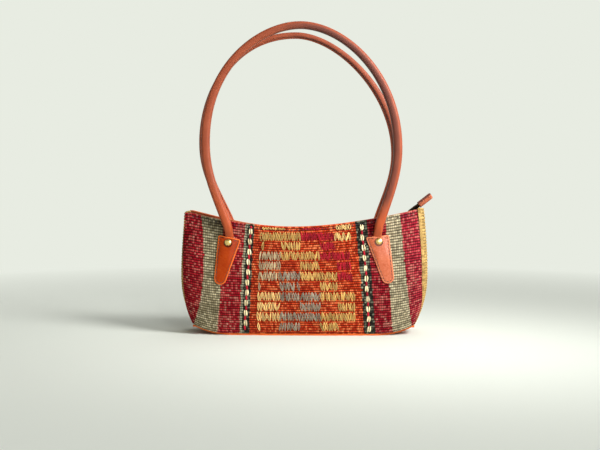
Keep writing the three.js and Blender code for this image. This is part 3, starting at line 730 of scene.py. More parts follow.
@dataclass(frozen=True)
class Wall:
    """The wall's shape: the frame's, with the cloth's give, its flared edges and its drooping mouth.

    A level runs from 0 at the wall's lower edge to 1 at the rim.
    """

    length: float = 321.0
    rim_end_inset: float = 5.0
    foot_end_inset: float = 13.0
    corner_length: float = 44.5
    depth: float = 88.0
    rim_inset: float = 21.0
    foot_inset: float = 4.0
    seam_set_back: float = 6.0
    rim_set_back: float = 7.0
    rim_height: float = 150.0
    rim_rise: float = 19.5
    back_rim_lift: float = 4.0
    back_rim_lift_start: float = 52.0
    corner_lift: float = 10.0
    lowest_edge: float = 2.8
    longest_level: float = 0.5
    deepest_level: float = 0.3
    length_curves: Pair = (2.6, 2.0)
    depth_curves: Pair = (2.0, 1.6)
    cloth: float = 3.5
    fit: float = 0.3
    left_bulge: float = 5.4
    left_foot_bulge: float = 0.6
    right_bulge: float = 6.6
    right_foot_bulge: float = 3.0
    flare_foot: float = 1.5
    flare_rim: float = 8.0
    flare_curve: float = 1.3
    seam_cover: float = 4.4
    seam_cover_start: float = 0.12
    seam_cover_end: float = 0.47
    seam_tuck: float = 2.4
    seam_tuck_curve: float = 3.0
    edge_tuck: float = 2.0
    back_flare: float = 0.6
    flare_cover: float = 3.8
    flare_cover_curve: float = 1.5
    mouth_drop: float = 4.5
    back_mouth_drop: float = 1.4
    mouth_drop_start: float = 115.0
    mouth_drop_end: float = -40.0
    edge_round: float = 3.0
    edge_width: float = 12.0
    edge_round_fade: float = 0.78
    seam_bend: float = 0.18
    right_gusset_rise: float = 2.4
    gusset_rise_start: float = 0.7
    sag: float = 1.1
    sag_wave: float = 33.0
    sag_phase: float = 0.7
    ripple: float = 0.6
    ripple_wave: float = 19.0
    ripple_lean: float = 5.0

    @property
    def rim_length(self) -> float:
        """Length between the side seams at the rim."""
        return self.length - 2 * self.rim_end_inset

    @property
    def foot_length(self) -> float:
        """Length between the side seams at the lower edge."""
        return self.length - 2 * self.foot_end_inset

    @property
    def rim_radius(self) -> float:
        """Radius of the mouth's arc."""
        return ((self.rim_length / 2) ** 2 + self.rim_rise ** 2) / (2 * self.rim_rise)

    @property
    def rim_centre(self) -> float:
        """Height of the middle of the mouth's arc."""
        return self.rim_height + self.rim_radius

    def rim(self, x: Values, side: float) -> Array:
        """Height of the frame's rim.

        Args:
            x: Place along the bag.
            side: -1 at the front, 1 at the back, or a share between them.

        Returns:
            The height.
        """
        inside = np.clip(x, -self.rim_length / 2, self.rim_length / 2)
        lift = self.back_rim_lift * smoothstep(-inside, self.back_rim_lift_start, self.rim_length / 2)
        return self.rim_centre - np.sqrt(self.rim_radius ** 2 - inside ** 2) + lift * (side + 1) / 2

    def mouth(self, x: Values, side: float) -> Array:
        """Height of the cloth's upper edge, which droops from the right end to the left one."""
        share = smoothstep(-np.asarray(x, float), -self.mouth_drop_start, -self.mouth_drop_end)
        return self.rim(x, side) - self.mouth_drop * share - self.back_mouth_drop * (side + 1) / 2

    def lower(self, x: Values) -> Array:
        """Height of the wall's lower edge at a place along the bag."""
        past = np.maximum(0, np.abs(x) - (self.foot_length / 2 - self.corner_length)) / self.corner_length
        return self.lowest_edge + self.corner_lift * past ** 2

    @staticmethod
    def half_size(level: Values, widest: float, sizes: Sequence[float], curves: Pair) -> Array:
        """Half of a size that is largest at one level.

        Args:
            level: Level on the wall.
            widest: Level of the largest size.
            sizes: Sizes at the lower edge, at that level and at the rim.
            curves: Powers of the change below and above that level.

        Returns:
            Half of the size.
        """
        foot, full, rim = sizes
        below = np.clip((widest - level) / widest, 0, None) ** curves[0]
        above = np.clip((level - widest) / (1 - widest), 0, None) ** curves[1]
        return np.where(level < widest, blend(full, foot, below), blend(full, rim, above)) / 2

    def half_length(self, level: Values) -> Array:
        """Distance of the side seams from the middle at a level."""
        sizes = (self.foot_length, self.length, self.rim_length)
        return self.half_size(level, self.longest_level, sizes, self.length_curves)

    def half_depth(self, level: Values) -> Array:
        """Distance of the panel's middle from the bag's middle at a level."""
        sizes = (self.depth - 2 * self.foot_inset, self.depth, self.depth - 2 * self.rim_inset)
        return self.half_size(level, self.deepest_level, sizes, self.depth_curves)

    def set_back(self, level: Values) -> Array:
        """How far the side seams lie behind the panel's middle at a level."""
        return blend(self.seam_set_back, self.rim_set_back, level)

    def flare(self, level: Values, side: float, end: float) -> Array:
        """How much further out a panel's edge stands at a level, over the gusset's seam.

        Args:
            level: Level on the wall.
            side: -1 at the front, 1 at the back.
            end: -1 at the left, 1 at the right.

        Returns:
            The distance.
        """
        cover = self.seam_cover * self.covered(level)
        if end > 0:
            return cover
        full = blend(self.flare_foot, self.flare_rim, np.clip(level, 0, 1) ** self.flare_curve)
        return np.maximum(cover, full * (self.back_flare if side > 0 else 1.0))

    def covered(self, level: Values) -> Array:
        """Share to which a panel's edge covers the gusset's seam at a level."""
        return 1 - smoothstep(level, self.seam_cover_start, self.seam_cover_end)

    def slack(self, x: Values, level: Values) -> Array:
        """How far the wool gives in and out at a place, between its seams.

        Args:
            x: Place along the bag.
            level: Level on the wall.

        Returns:
            The distance.
        """
        inside = np.clip(1 - (x / self.half_length(level)) ** 2, 0, 1)
        tall = np.clip(4 * level * (1 - level), 0, 1)
        wave = np.sin(x / self.sag_wave + self.sag_phase) * np.sin(pi * level)
        wave = wave + self.ripple * np.sin(x / self.ripple_wave + self.ripple_lean * level)
        return self.sag * wave * inside * tall

    def rounding(self, level: Values) -> Array:
        """How far a panel's edges turn in at a level."""
        return self.edge_round * (1 - smoothstep(level, self.edge_round_fade, 1.0))

    def height(self, x: Values, level: Values, side: float) -> Array:
        """Height of a level at a place along the bag, bent with the lower edge and with the rim."""
        foot, top = self.lower(x) - self.lowest_edge, self.rim(x, side) - self.rim_height
        return blend(self.lowest_edge, self.rim_height, level) + foot * (1 - level) ** 2 + top * level ** 2

    def level_at(self, x: Values, z: Values, side: float) -> Array:
        """Level of a height at a place along the bag, from which height() gives the same height.

        Args:
            x: Place along the bag.
            z: Height.
            side: -1 at the front, 1 at the back.

        Returns:
            The level.
        """
        foot = self.lower(x) - self.lowest_edge
        bend = foot + self.rim(x, side) - self.rim_height
        climb = self.rim_height - self.lowest_edge - 2 * foot
        above = z - self.lower(x)
        return 2 * above / (climb + np.sqrt(np.maximum(climb ** 2 + 4 * bend * above, 0)))

    def point(self, x: Values, level: Values, side: float, proud: Values) -> Array:
        """A point of a panel.

        Args:
            x: Place along the bag.
            level: Level on the wall.
            side: -1 at the front, 1 at the back.
            proud: Distance outside the panel's face.

        Returns:
            The point or points.
        """
        x, level, proud = np.broadcast_arrays(np.asarray(x, float), np.asarray(level, float), proud)
        half = self.half_length(level)
        depth = self.half_depth(level) - self.set_back(level) * (x / half) ** 2
        depth -= self.rounding(level) * np.clip((np.abs(x) - half) / self.edge_width + 1, 0, None) ** 2
        y = side * (depth + self.slack(x, level) + proud)
        return np.stack([x, y, self.height(x, level, side)], axis=-1)

    def at(self, x: Values, z: Values, side: float, proud: Values) -> Array:
        """A point of a panel at a height, as point() gives it at a level."""
        return self.point(x, self.level_at(np.asarray(x, float), z, side), side, proud)

    def out(self, x: float, z: float, side: float) -> Array:
        """Direction square to a panel at a place."""
        here, along, upward = (self.at(x + i, z + k, side, 0.0) for i, k in ((0, 0), (1, 0), (0, 1)))
        return unit(np.cross(along - here, upward - here)) * -side

    def gusset(self, end: float, share: Values, level: Values, proud: Values) -> Array:
        """A point of an end gusset.

        Args:
            end: -1 at the left, 1 at the right.
            share: Place across it, from -1 at the front seam to 1 at the back one.
            level: Level on the wall.
            proud: Distance outside its inner face.

        Returns:
            The point or points.
        """
        share, level, proud = np.broadcast_arrays(share, level, proud)
        foot, full = self.right_foot_bulge, self.right_bulge
        if end < 0:
            foot, full = self.left_foot_bulge, self.left_bulge
        bulge = blend(foot, full, smoothstep(level, 0, self.longest_level))
        seam = np.where(share < 0, self.flare(level, -1, end), self.flare(level, 1, end))
        flare = np.maximum(seam - self.flare_cover, 0) * np.abs(share) ** self.flare_cover_curve
        reach = self.half_length(level) + self.fit + np.maximum(bulge * (1 - share ** 2), flare) + proud
        reach -= self.seam_tuck * self.covered(level) * np.abs(share) ** self.seam_tuck_curve
        tuck = self.edge_tuck * self.covered(level) + self.rounding(level) * (seam / self.edge_width + 1) ** 2
        y = share * (self.half_depth(level) - self.set_back(level) - tuck)
        lowest = self.lower(self.half_length(np.zeros_like(level)))
        climb = level - self.seam_bend * level * (1 - level)
        z = blend(lowest, self.mouth(end * reach, share), climb)
        if end > 0:
            z = z + self.right_gusset_rise * smoothstep(level, self.gusset_rise_start, 1.0)
        return np.stack([end * reach, y, z], axis=-1)


# Woven cloth

@dataclass(frozen=True)
class Weave:
    """Sizes of the weave: ribs across the bag's height, beads along each rib, and steps of its hems."""

    ribs: int = 45
    rib_rows: int = 4
    bead: float = 2.9
    fine_bead: float = 2.5
    bead_columns: int = 4
    rib_relief: float = 0.85
    bead_share: float = 0.55
    unevenness: float = 0.2
    stagger: float = 0.16
    wander: float = 0.4
    ridge_curve: float = 0.8
    fine_share: float = 0.93
    hem_relief: float = 0.5
    hem_inward: tuple[float, ...] = (0.7, 1.8, 2.9, 3.5)
    hem_rise: tuple[float, ...] = (0.7, 1.0, 0.7, -0.4)

    def relief(self, rib: Array, bead: Array) -> Array:
        """Height of the weave from 0 in a furrow to 1 on a bead, by counts of ribs and beads."""
        ridge, knot = (0.5 + 0.5 * np.cos(2 * pi * count) for count in (rib, bead))
        return ridge ** self.ridge_curve * (1 - self.bead_share + self.bead_share * knot)


# Points or values over a cloth, from shares across it, levels and a third value
OverCloth = Callable[[Array, Array, Array], Array]


@dataclass
class Cloth:
    """A woven cloth over a surface: its mesh, and the band and tone of each bead that its wool reads."""

    weave: Weave
    seed: int

    def make(self, name: str, surface: OverCloth, beads: Array, bands: OverCloth, wool: WovenWool) -> Object:
        """Makes the cloth, whose beads stand in columns, and in bricks where they are fine.

        Args:
            name: Name of the piece.
            surface: Gives points for shares across, levels and distances outwards.
            beads: Share across the cloth of each whole bead.
            bands: Gives the band, as a share, for shares across, levels and sideways wander.
            wool: Its finish.

        Returns:
            The piece.
        """
        weave, hem = self.weave, self.weave.hem_inward
        draw = np.random.default_rng(self.seed)
        columns = len(beads) - 1

        def hemmed(whole: int, parts: int) -> tuple[Array, Array]:
            """Counts of ribs or beads along one way with its hems, and the distances inwards."""
            inner = np.arange(whole * parts + 1) / parts
            return np.pad(inner, len(hem), mode="edge"), np.concatenate([hem[::-1], 0 * inner, hem])

        rib, in_rows = hemmed(weave.ribs, weave.rib_rows)
        bead, in_columns = hemmed(columns, weave.bead_columns)
        rises = np.concatenate([np.zeros(len(rib) - len(weave.hem_rise)), weave.hem_rise])
        rib_grid, bead_grid = np.meshgrid(rib, bead, indexing="ij")
        widths = np.gradient(beads)
        brick = (widths < weave.fine_share * widths.max()).astype(float)
        stagger = draw.uniform(-weave.stagger, weave.stagger, weave.ribs + 1)

        def knots(row: Array, place: Array) -> Array:
            """Count of beads along a rib at a place, with the rib's own shift."""
            return place + stagger[row] + row % 2 / 2 * np.interp(place, np.arange(columns + 1), brick)

        uneven = draw.uniform(1 - weave.unevenness, 1 + weave.unevenness, (weave.ribs + 1, columns + 2))
        row = np.round(rib_grid).astype(int)
        knot = knots(row, bead_grid)
        relief = weave.relief(rib_grid, knot) * uneven[row, np.round(knot).astype(int)]
        inward = np.maximum(in_rows[:, None], in_columns[None, :])
        relief = np.where(inward > 0, weave.hem_relief, relief)
        share = np.interp(bead_grid, np.arange(columns + 1), beads)
        points = surface(share, rib_grid / weave.ribs, weave.rib_relief * relief - inward)
        points[..., 2] += rises[:, None]
        build = Build()
        build.grid(points, shade=relief)
        made = build.piece(name, wool)
        face_row = np.round((rib_grid[:-1, :-1] + rib_grid[1:, 1:]) / 2).astype(int)
        face_knot = np.round(knots(face_row, (bead_grid[:-1, :-1] + bead_grid[1:, 1:]) / 2)).astype(int)
        face_share = (share[:-1, :-1] + share[1:, 1:]) / 2
        wander = draw.normal(0, weave.wander, weave.ribs + 1)
        tones = draw.random((weave.ribs + 1, columns + 2))
        paint(made, "band", bands(face_share, face_row / weave.ribs, wander[face_row]), "FACE")
        paint(made, "tone", tones[face_row, face_knot], "FACE")
        return made


@dataclass(frozen=True)
class Seam:
    """A line between two bands of colour, by its places along the bag at the rim, midway and at the foot."""

    rim: float
    middle: float
    foot: float

    def at(self, level: Values) -> Array:
        """Place of the line at a level."""
        bow = 2 * (self.rim + self.foot - 2 * self.middle)
        return self.foot + (self.rim - self.foot - bow) * level + bow * level ** 2


SEAMS = (
    Seam(-140.5, -135.8, -149.6),
    Seam(-110.3, -111.2, -117.0),
    Seam(-79.0, -83.5, -86.2),
    Seam(-76.0, -80.3, -82.8),
    Seam(-66.5, -70.2, -73.0),
    Seam(70.4, 77.6, 82.3),
    Seam(86.7, 92.4, 98.0),
    Seam(112.5, 115.5, 121.5),
    Seam(132.5, 139.0, 147.0),
)


@dataclass
class Panels:
    """The two striped panels and the two mustard gussets."""

    wall: Wall
    weave: Weave = Weave()
    brocade_seams: tuple[Seam, Seam] = (SEAMS[4], SEAMS[5])

    def beads(self) -> Array:
        """Shares of a panel's width at each whole bead, which are finer in its brocaded middle.

        Returns:
            The shares.
        """
        half = self.wall.length / 2
        left, right = (seam.middle for seam in self.brocade_seams)
        bead, fine = self.weave.bead, self.weave.fine_bead
        runs = ((-half, left, bead), (left, right, fine), (right, half, bead))
        places = [np.linspace(start, end, round((end - start) / pitch), endpoint=False)
                  for start, end, pitch in runs]
        return (np.concatenate([*places, [half]]) + half) / (2 * half)

    def panel(self, side: Side) -> Object:
        """Makes a panel.

        Args:
            side: Which face of the bag.

        Returns:
            The piece.
        """
        wall, sign = self.wall, side.value

        def place(share: Array, level: Array) -> Array:
            """Place along the bag of a share of the panel's width."""
            half = wall.half_length(level)
            return blend(-half - wall.flare(level, sign, -1), half + wall.flare(level, sign, 1), share)

        def surface(share: Array, level: Array, proud: Array) -> Array:
            """Points of the panel's outer face and hems."""
            x = place(share, level)
            return wall.point(x, level * wall.level_at(x, wall.mouth(x, sign), sign), sign, proud)

        def bands(share: Array, level: Array, wander: Array) -> Array:
            """Band at each place, counted from the left."""
            x = place(share, level) + wander
            return (sum(x > seam.at(level) for seam in SEAMS) + 0.5) / (len(SEAMS) + 1)

        cloth = Cloth(self.weave, SEED + sign)
        return cloth.make(f"{side.word}_kilim", surface, self.beads(), bands, STRIPED_WOOL)

    def gusset(self, end: End) -> Object:
        """Makes an end gusset.

        Args:
            end: Which end of the bag.

        Returns:
            The piece.
        """
        wall, sign = self.wall, end.value

        def surface(share: Array, level: Array, proud: Array) -> Array:
            """Points of the gusset's outer face and hems."""
            return wall.gusset(sign, (2 * share - 1) * sign, level, wall.cloth + proud)

        def bands(share: Array, level: Array, wander: Array) -> Array:
            """The one band of the gusset."""
            return np.full(np.broadcast(share, level, wander).shape, 0.5)

        columns = round(2 * (wall.half_depth(wall.deepest_level) - wall.seam_set_back) / self.weave.bead)
        beads = np.linspace(0, 1, columns + 1)
        cloth = Cloth(self.weave, GUSSET_SEED + sign)
        return cloth.make(f"{end.word}_end_gusset", surface, beads, bands, GUSSET_WOOL)

    def build(self) -> None:
        """Makes the four cloths and puts them on the bag."""
        for side in Side:
            made = self.panel(side)
            settle(made, "bag", "kilim", f"{side.word}_panel")
        for end in End:
            made = self.gusset(end)
            settle(made, "bag", "gusset", f"{end.word}_gusset")


# Brocade

class YarnKind(Enum):
    """The brocade's yarns, by their place in YARNS."""

    OCHRE = 0
    CREAM = 1
    ECRU = 2
    GREY = 3
    CRIMSON = 4
    BEAD = 5


@dataclass(frozen=True)
class Block:
    """A run of brocade stitches in one row, between two places in columns from the left."""

    row: float
    start: float
    end: float
    yarn: YarnKind
    tall: float = 1.0


def brocade_blocks() -> list[Block]:
    """The brocade's runs of stitches, row by row from the rim.

    Returns:
        The runs.
    """
    ochre, cream, ecru = YarnKind.OCHRE, YarnKind.CREAM, YarnKind.ECRU
    grey, crimson = YarnKind.GREY, YarnKind.CRIMSON
    return [
        Block(-0.85, 0.1, 1.2, ochre, 0.75), Block(-0.85, 2.1, 3.0, crimson, 0.75),
        Block(-0.85, 4.0, 4.9, cream, 0.75),
        Block(0.14, 0, 2, ochre), Block(0.14, 2, 3.85, crimson), Block(0.14, 3.9, 4.9, cream),
        Block(1.07, 0.1, 0.22, ochre), Block(1.07, 1, 2, ochre), Block(1.07, 3, 3.9, crimson),
        Block(2.03, 0, 1, ecru), Block(2.03, 1, 3, ochre), Block(2.03, 3, 4.8, crimson),
        Block(3, 0, 1, ecru), Block(3, 2, 2.95, ochre), Block(3, 4, 4.85, crimson),
        Block(4, 0, 1, ecru), Block(4, 1, 2, grey), Block(4, 2, 4, ochre), Block(4, 4, 4.9, crimson),
        Block(5, 0, 0.12, ecru), Block(5, 1, 1.75, grey), Block(5, 1.86, 1.98, grey), Block(5, 3, 4, ochre),
        Block(6, 0, 1, cream), Block(6, 1, 3, grey), Block(6, 3, 5, ochre),
        Block(7, 0, 1, cream), Block(7, 2, 3, grey), Block(7, 4, 5, ochre),
        Block(8, 0, 1, cream), Block(8, 1, 3, grey), Block(8, 3, 5, ochre),
        Block(9, 0.05, 0.2, cream), Block(9, 1, 2, grey), Block(9, 3, 4, ochre),
    ]


@dataclass
class Brocade:
    """Raised stitches of the panels' middle, and the two chains of beads beside it."""

    wall: Wall
    shift: float = 4.0
    fan: float = 0.045
    column_edges: tuple[float, ...] = (-61.0, -31.0, -4.0, 23.0, 46.0, 69.0)
    top_drop: float = 14.5
    pitch: float = 13.7
    stitch_length: float = 12.4
    stitch_pitch: float = 3.4
    stitch_steps: int = 8
    length_range: Pair = (0.92, 1.05)
    stripe_spread: float = 0.18
    height_spread: float = 0.3
    strand: float = 0.61
    strand_range: Pair = (0.85, 1.15)
    strand_height: float = 1.05
    strand_end: float = 0.35
    strand_curve: float = 0.55
    end_stand: float = 0.1
    stand: float = 0.95
    tone_spread: float = 0.1
    bow: float = 0.95
    bow_spread: float = 0.35
    lean: float = 1.1
    lean_spread: float = 1.9
    rim_margin: float = 1.4
    foot_margin: float = 1.0
    bead_rows: int = 12
    bead_length: float = 8.0
    bead_half: float = 1.25
    bead_offset: float = 1.25
    knot_length: float = 6.4
    knot_half: float = 1.6
    chain_spread: float = 0.3
    chain_lean: float = 0.5
    chain_lean_spread: float = 0.6
    chain_slant_spread: float = 0.4
    chain_offset_range: Pair = (0.5, 1.1)
    chain_bow: float = 0.4
    chains: tuple[Seam, Seam] = (Seam(-71.3, -75.3, -79.2), Seam(77.7, 85.2, 89.0))
    chain_drops: Pair = (-4.2, 4.0)

    def fanned(self, stripe: float, z: float, side: float) -> float:
        """Place along the bag of a stripe at a height, as the stripes spread towards the foot."""
        level = float(self.wall.level_at(stripe, z, side))
        return self.shift + (stripe - self.shift) * (1 + self.fan * (1 - 2 * level))

    def stitch(self, build: Build, side: float, top: Pair, foot: Pair,
               bow: float, width: float, yarn: YarnKind, tone: float) -> None:
        """Adds one strand of a stitch.

        Args:
            build: The piece so far.
            side: -1 at the front, 1 at the back.
            top: Place and height of its upper end.
            foot: Place and height of its lower end.
            bow: How far it bows sideways.
            width: Half width of the yarn.
            yarn: Which yarn.
            tone: How pale it is, from 0 to 1.
        """
        share = np.linspace(0, 1, self.stitch_steps)
        arch = np.sin(pi * share)
        swell = arch ** self.strand_curve
        x = blend(top[0], foot[0], share) + bow * arch
        z = blend(top[1], foot[1], share)
        path = self.wall.at(x, z, side, self.end_stand + self.stand * swell)
        fat = blend(self.strand_end, 1.0, swell)
        build.strand(path, width * fat, self.strand_height * fat, np.array([0.0, side, 0.0]), yarn.value)
        build.tones += [tone] * (len(build.faces) - len(build.tones))

    def place_of(self, column: float) -> float:
        """Stripe of a place counted in columns."""
        return float(np.interp(column, np.arange(len(self.column_edges)), self.column_edges))

    def stitches(self, build: Build, side: float, draw: np.random.Generator) -> None:
        """Adds every brocade stitch of a panel.

        Args:
            build: The piece so far.
            side: -1 at the front, 1 at the back.
            draw: Source of the unevenness.
        """
        for block in brocade_blocks():
            height = self.wall.rim_height - self.top_drop - block.row * self.pitch
            left, right = self.place_of(block.start), self.place_of(block.end)
            count = max(1, round((right - left) / self.stitch_pitch))
            for index in range(count):
                stripe = blend(left, right, (index + 0.5) / count) + draw.normal(0, self.stripe_spread)
                half = self.stitch_length * block.tall / 2 * draw.uniform(*self.length_range)
                lean = block.tall * draw.normal(self.lean, self.lean_spread)
                middle = height + draw.normal(0, self.height_spread)
                high = min(middle + half, float(self.wall.mouth(stripe, side)) - self.rim_margin)
                low = middle - half
                top = (self.fanned(stripe - lean / 2, high, side), high)
                foot = (self.fanned(stripe + lean / 2, low, side), low)
                tone = draw.random()
                for way in (-1, 1):
                    bow = way * self.bow * draw.normal(1, self.bow_spread)
                    width = self.strand * draw.uniform(*self.strand_range)
                    shade = float(np.clip(tone + draw.normal(0, self.tone_spread), 0, 1))
                    self.stitch(build, side, top, foot, bow, width, block.yarn, shade)

    def chain(self, build: Build, side: float, line: Seam, drop: float,
              draw: np.random.Generator) -> None:
        """Adds a chain of pale beads and crimson knots.

        Args:
            build: The piece so far.
            side: -1 at the front, 1 at the back.
            line: Where the chain runs.
            drop: Distance of its first bead under the frame's lowest rim.
            draw: Source of the unevenness.
        """
        ceiling = float(self.wall.mouth(line.rim, side)) - self.rim_margin
        floor = self.wall.lowest_edge + self.foot_margin
        pair = (-self.bead_offset, self.bead_offset)
        for row in range(self.bead_rows):
            bead = self.wall.rim_height - drop - row * self.pitch
            knot = bead - self.pitch / 2
            runs = [(bead, self.bead_length, pair, self.bead_half, YarnKind.BEAD),
                    (knot, self.knot_length, (0.0,), self.knot_half, YarnKind.CRIMSON)]
            for height, length, offsets, width, yarn in runs:
                high, low = min(height + length / 2, ceiling), max(height - length / 2, floor)
                if high - low < length / 2:
                    continue
                level = float(self.wall.level_at(line.middle, height, side))
                middle = float(line.at(level)) + draw.normal(0, self.chain_spread)
                lean = draw.normal(self.chain_lean, self.chain_lean_spread)
                for offset in offsets:
                    slant = lean + draw.normal(0, self.chain_slant_spread)
                    top = (middle + offset * draw.uniform(*self.chain_offset_range) - slant / 2, high)
                    foot = (middle + offset * draw.uniform(*self.chain_offset_range) + slant / 2, low)
                    bow = self.chain_bow * np.sign(offset)
                    self.stitch(build, side, top, foot, bow, width, yarn, draw.random())

    def build(self) -> None:
        """Makes each panel's brocade and chains, and puts them on the bag."""
        for side in Side:
            draw = np.random.default_rng(BROCADE_SEED + side.value)
            build = Build()
            self.stitches(build, side.value, draw)
            for line, drop in zip(self.chains, self.chain_drops):
                self.chain(build, side.value, line, drop, draw)
            made = build.piece(f"{side.word}_brocade", *YARNS)
            paint(made, "tone", np.array(build.tones), "FACE")
            settle(made, "bag", "kilim")


# Sewing

@dataclass(frozen=True)
class Stitch:
    """A sewing stitch, sunk at both ends. Its rise, sink and end are shares of the thread's radius."""

    radius: float
    pitch: float
    length: float
    slot: int = 1
    steps: int = 5
    rise: float = 0.8
    sink: float = 0.55
    end: float = 0.6

    def add(self, build: Build, line: Array, out: Array) -> None:
        """Adds the stitch to a piece.

        Args:
            build: The piece so far.
            line: Where the thread comes up, and where it goes down.
            out: Direction out of the material.
        """
        share = np.linspace(0, 1, self.steps)
        arch = np.sin(pi * share)
        lift = self.radius * (self.rise * arch - self.sink)
        path = blend(line[0], line[1], share[:, None]) + out * lift[:, None]
        size = self.radius * blend(self.end, 1.0, arch)
        build.strand(path, size, size, out, self.slot)


@dataclass
class RimSewing:
    """The dark stitches that hold the facings, along the panels' upper edges."""

    wall: Wall
    drop: float = 3.6
    end_gap: float = 3.0
    thread: Stitch = Stitch(0.5, 5.2, 2.4, slot=0)
    proud: float = 0.75

    def build(self) -> None:
        """Makes each panel's row of stitches and puts it on the bag."""
        reach = self.wall.rim_length / 2 - self.end_gap
        for side in Side:
            build = Build()
            for start in np.arange(-reach, reach - self.thread.length, self.thread.pitch):
                x = np.array([start, start + self.thread.length])
                z = self.wall.mouth(x, side.value) - self.drop
                line = self.wall.at(x, z, side.value, self.proud)
                self.thread.add(build, line, self.wall.out(start, z[0], side.value))
            settle(build.piece(f"{side.word}_rim_stitches", NAVY_THREAD), "bag", "kilim")


@dataclass
class Tab:
    """A leather tab sewn and riveted over a handle's end."""

    wall: Wall
    side: Side
    end: End
    inset: float = 60.0
    drop: float = 17.3
    length: float = 65.0
    top_width: float = 31.0
    end_radius: float = 8.5
    corner_radius: float = 2.2
    lean: float = 12.0
    top_cut: float = 0.0
    leather: float = 2.0
    crown: float = 1.05
    edge_width: float = 4.6
    strap_width: float = 9.0
    strap_length: float = 24.0
    strap: float = 2.0
    flat_edge: float = 1.0
    stitch_inset: float = 2.3
    stitch_seat: float = 0.92
    stitch_steps: int = 12
    thread: Stitch = Stitch(0.5, 4.5, 3.3)
    rivet_drop: float = 8.0
    press_radius: float = 6.0
    press_points: int = 40
    corner_points: int = 6
    tip_points: int = 22
    outline_points: int = 132

    @property
    def word(self) -> str:
        """The words for its side and end in the names of pieces."""
        return f"{self.side.word}_{self.end.word}"

    def swell(self, across: Values, down: Values) -> Array:
        """How far the tab's underside stands off the panel, over the handle's end.

        Args:
            across: Distance across the tab.
            down: Distance down it.

        Returns:
            The distance.
        """
        edge = self.top_width / 2 - self.flat_edge
        sideways = 1 - smoothstep(np.abs(across), self.strap_width / 2 + self.wall.fit, edge)
        downwards = 1 - smoothstep(down, self.strap_length + self.wall.fit, self.length - self.end_radius)
        return self.wall.fit + (self.strap + self.wall.fit) * sideways * downwards

    def place(self, across: Values, down: Values, proud: Values) -> Array:
        """A point over the panel, across the tab and down it from the middle of its top edge.

        Args:
            across: Distance across the tab.
            down: Distance down it.
            proud: Distance outside the panel's face.

        Returns:
            The point or points.
        """
        lean = radians(self.lean)
        out = self.wall.length / 2 - self.inset + across * cos(lean) + down * sin(lean)
        z = self.wall.rim_height - self.drop + across * sin(lean) - down * cos(lean)
        return self.wall.at(self.end.value * out, z, self.side.value, proud)

    def over(self, flat: Array, height: float) -> Array:
        """Points at a height over the tab's underside, from pairs across the tab and down it."""
        across, down = flat[:, 0], flat[:, 1]
        return self.place(across, down, self.swell(across, down) + height)

    def outline(self) -> Array:
        """The tab's edge, across and down, as an even line from its top edge's middle.

        Returns:
            Points in order.
        """
        half, radius = self.top_width / 2, self.corner_radius
        start = self.length - self.end_radius
        cut = tan(radians(self.top_cut))
        arc = np.linspace(0, pi / 2, self.corner_points)
        corner = np.stack([half - radius + radius * np.sin(arc), radius - radius * np.cos(arc)], axis=1)
        turn = np.linspace(0, pi, self.tip_points)
        tip = np.stack([self.end_radius * np.cos(turn), start + self.end_radius * np.sin(turn)], axis=1)
        line = np.vstack([[[0.0, 0.0]], corner, tip, corner[::-1] * [-1, 1]])
        line[:, 1] += cut * line[:, 0] * np.clip(1 - line[:, 1] / start, 0, 1)
        return resample(line, self.outline_points, closed=True)

    @staticmethod
    def inward(line: Array) -> Array:
        """Directions from an outline's points into the tab."""
        ahead = np.roll(line, -1, axis=0) - np.roll(line, 1, axis=0)
        return unit(np.stack([-ahead[:, 1], ahead[:, 0]], axis=1))

    def skin(self, build: Build, line: Array) -> None:
        """Adds the tab's skin: its underside, its pale cut edge with the stitches' groove in painted shade,
        and its face.

        Args:
            build: The piece so far.
            line: The outline, across and down.
        """
        inward = self.inward(line)
        down = np.clip(line[:, 1], self.end_radius, self.length - self.end_radius)
        spine = np.stack([np.zeros(len(line)), down], axis=1)
        # Inset, height as a share of the leather, and shade: pale on the cut edge, painted shade in the
        # stitches' groove
        edge = [(0.0, 0.0, 0.6), (-0.1, 0.5, 1.0), (0.15, 0.82, 1.0), (0.6, 0.97, 0.9), (1.3, 1.0, 0.5),
                (1.9, 0.93, 0.1), (self.stitch_inset, 0.86, -0.5), (2.7, 0.93, -0.1), (3.3, 1.0, 0.0),
                (self.edge_width, 1.03, 0.0)]
        inner = line + inward * self.edge_width
        rows = [(blend(line, spine, share), 0.0, 0.0) for share in (1.0, 0.5)]
        rows += [(line + inward * inset, height, shade) for inset, height, shade in edge]
        rows += [(blend(inner, spine, share), self.crown, 0.0) for share in (0.34, 0.67, 1.0)]
        points = np.stack([self.over(flat, height * self.leather) for flat, height, _ in rows])
        build.grid(points, wrap=True, shade=np.array([shade for *_, shade in rows])[:, None])

    def press(self, build: Build) -> None:
        """Adds a thin dark ring on the leather round the rivet's cap: painted shadow of its dome.

        Args:
            build: The piece so far.
        """
        turn = circle(self.press_points)
        around = np.stack([np.cos(turn), np.sin(turn)], axis=1)
        # Inset from the ring's edge, rise over the leather, and shade
        profile = [(2.0, -0.5, -1.0), (2.0, 0.2, -1.0), (0.6, 0.2, -1.0), (0.0, -0.1, -0.7),
                   (0.0, -0.5, -0.7), (2.0, -0.5, -1.0)]
        rings = []
        for inset, rise, _ in profile:
            flat = [0.0, self.rivet_drop] + (self.press_radius - inset) * around
            rings.append(self.over(flat, self.crown * self.leather + rise))
        build.grid(np.stack(rings), wrap=True, shade=np.array([shade for *_, shade in profile])[:, None])

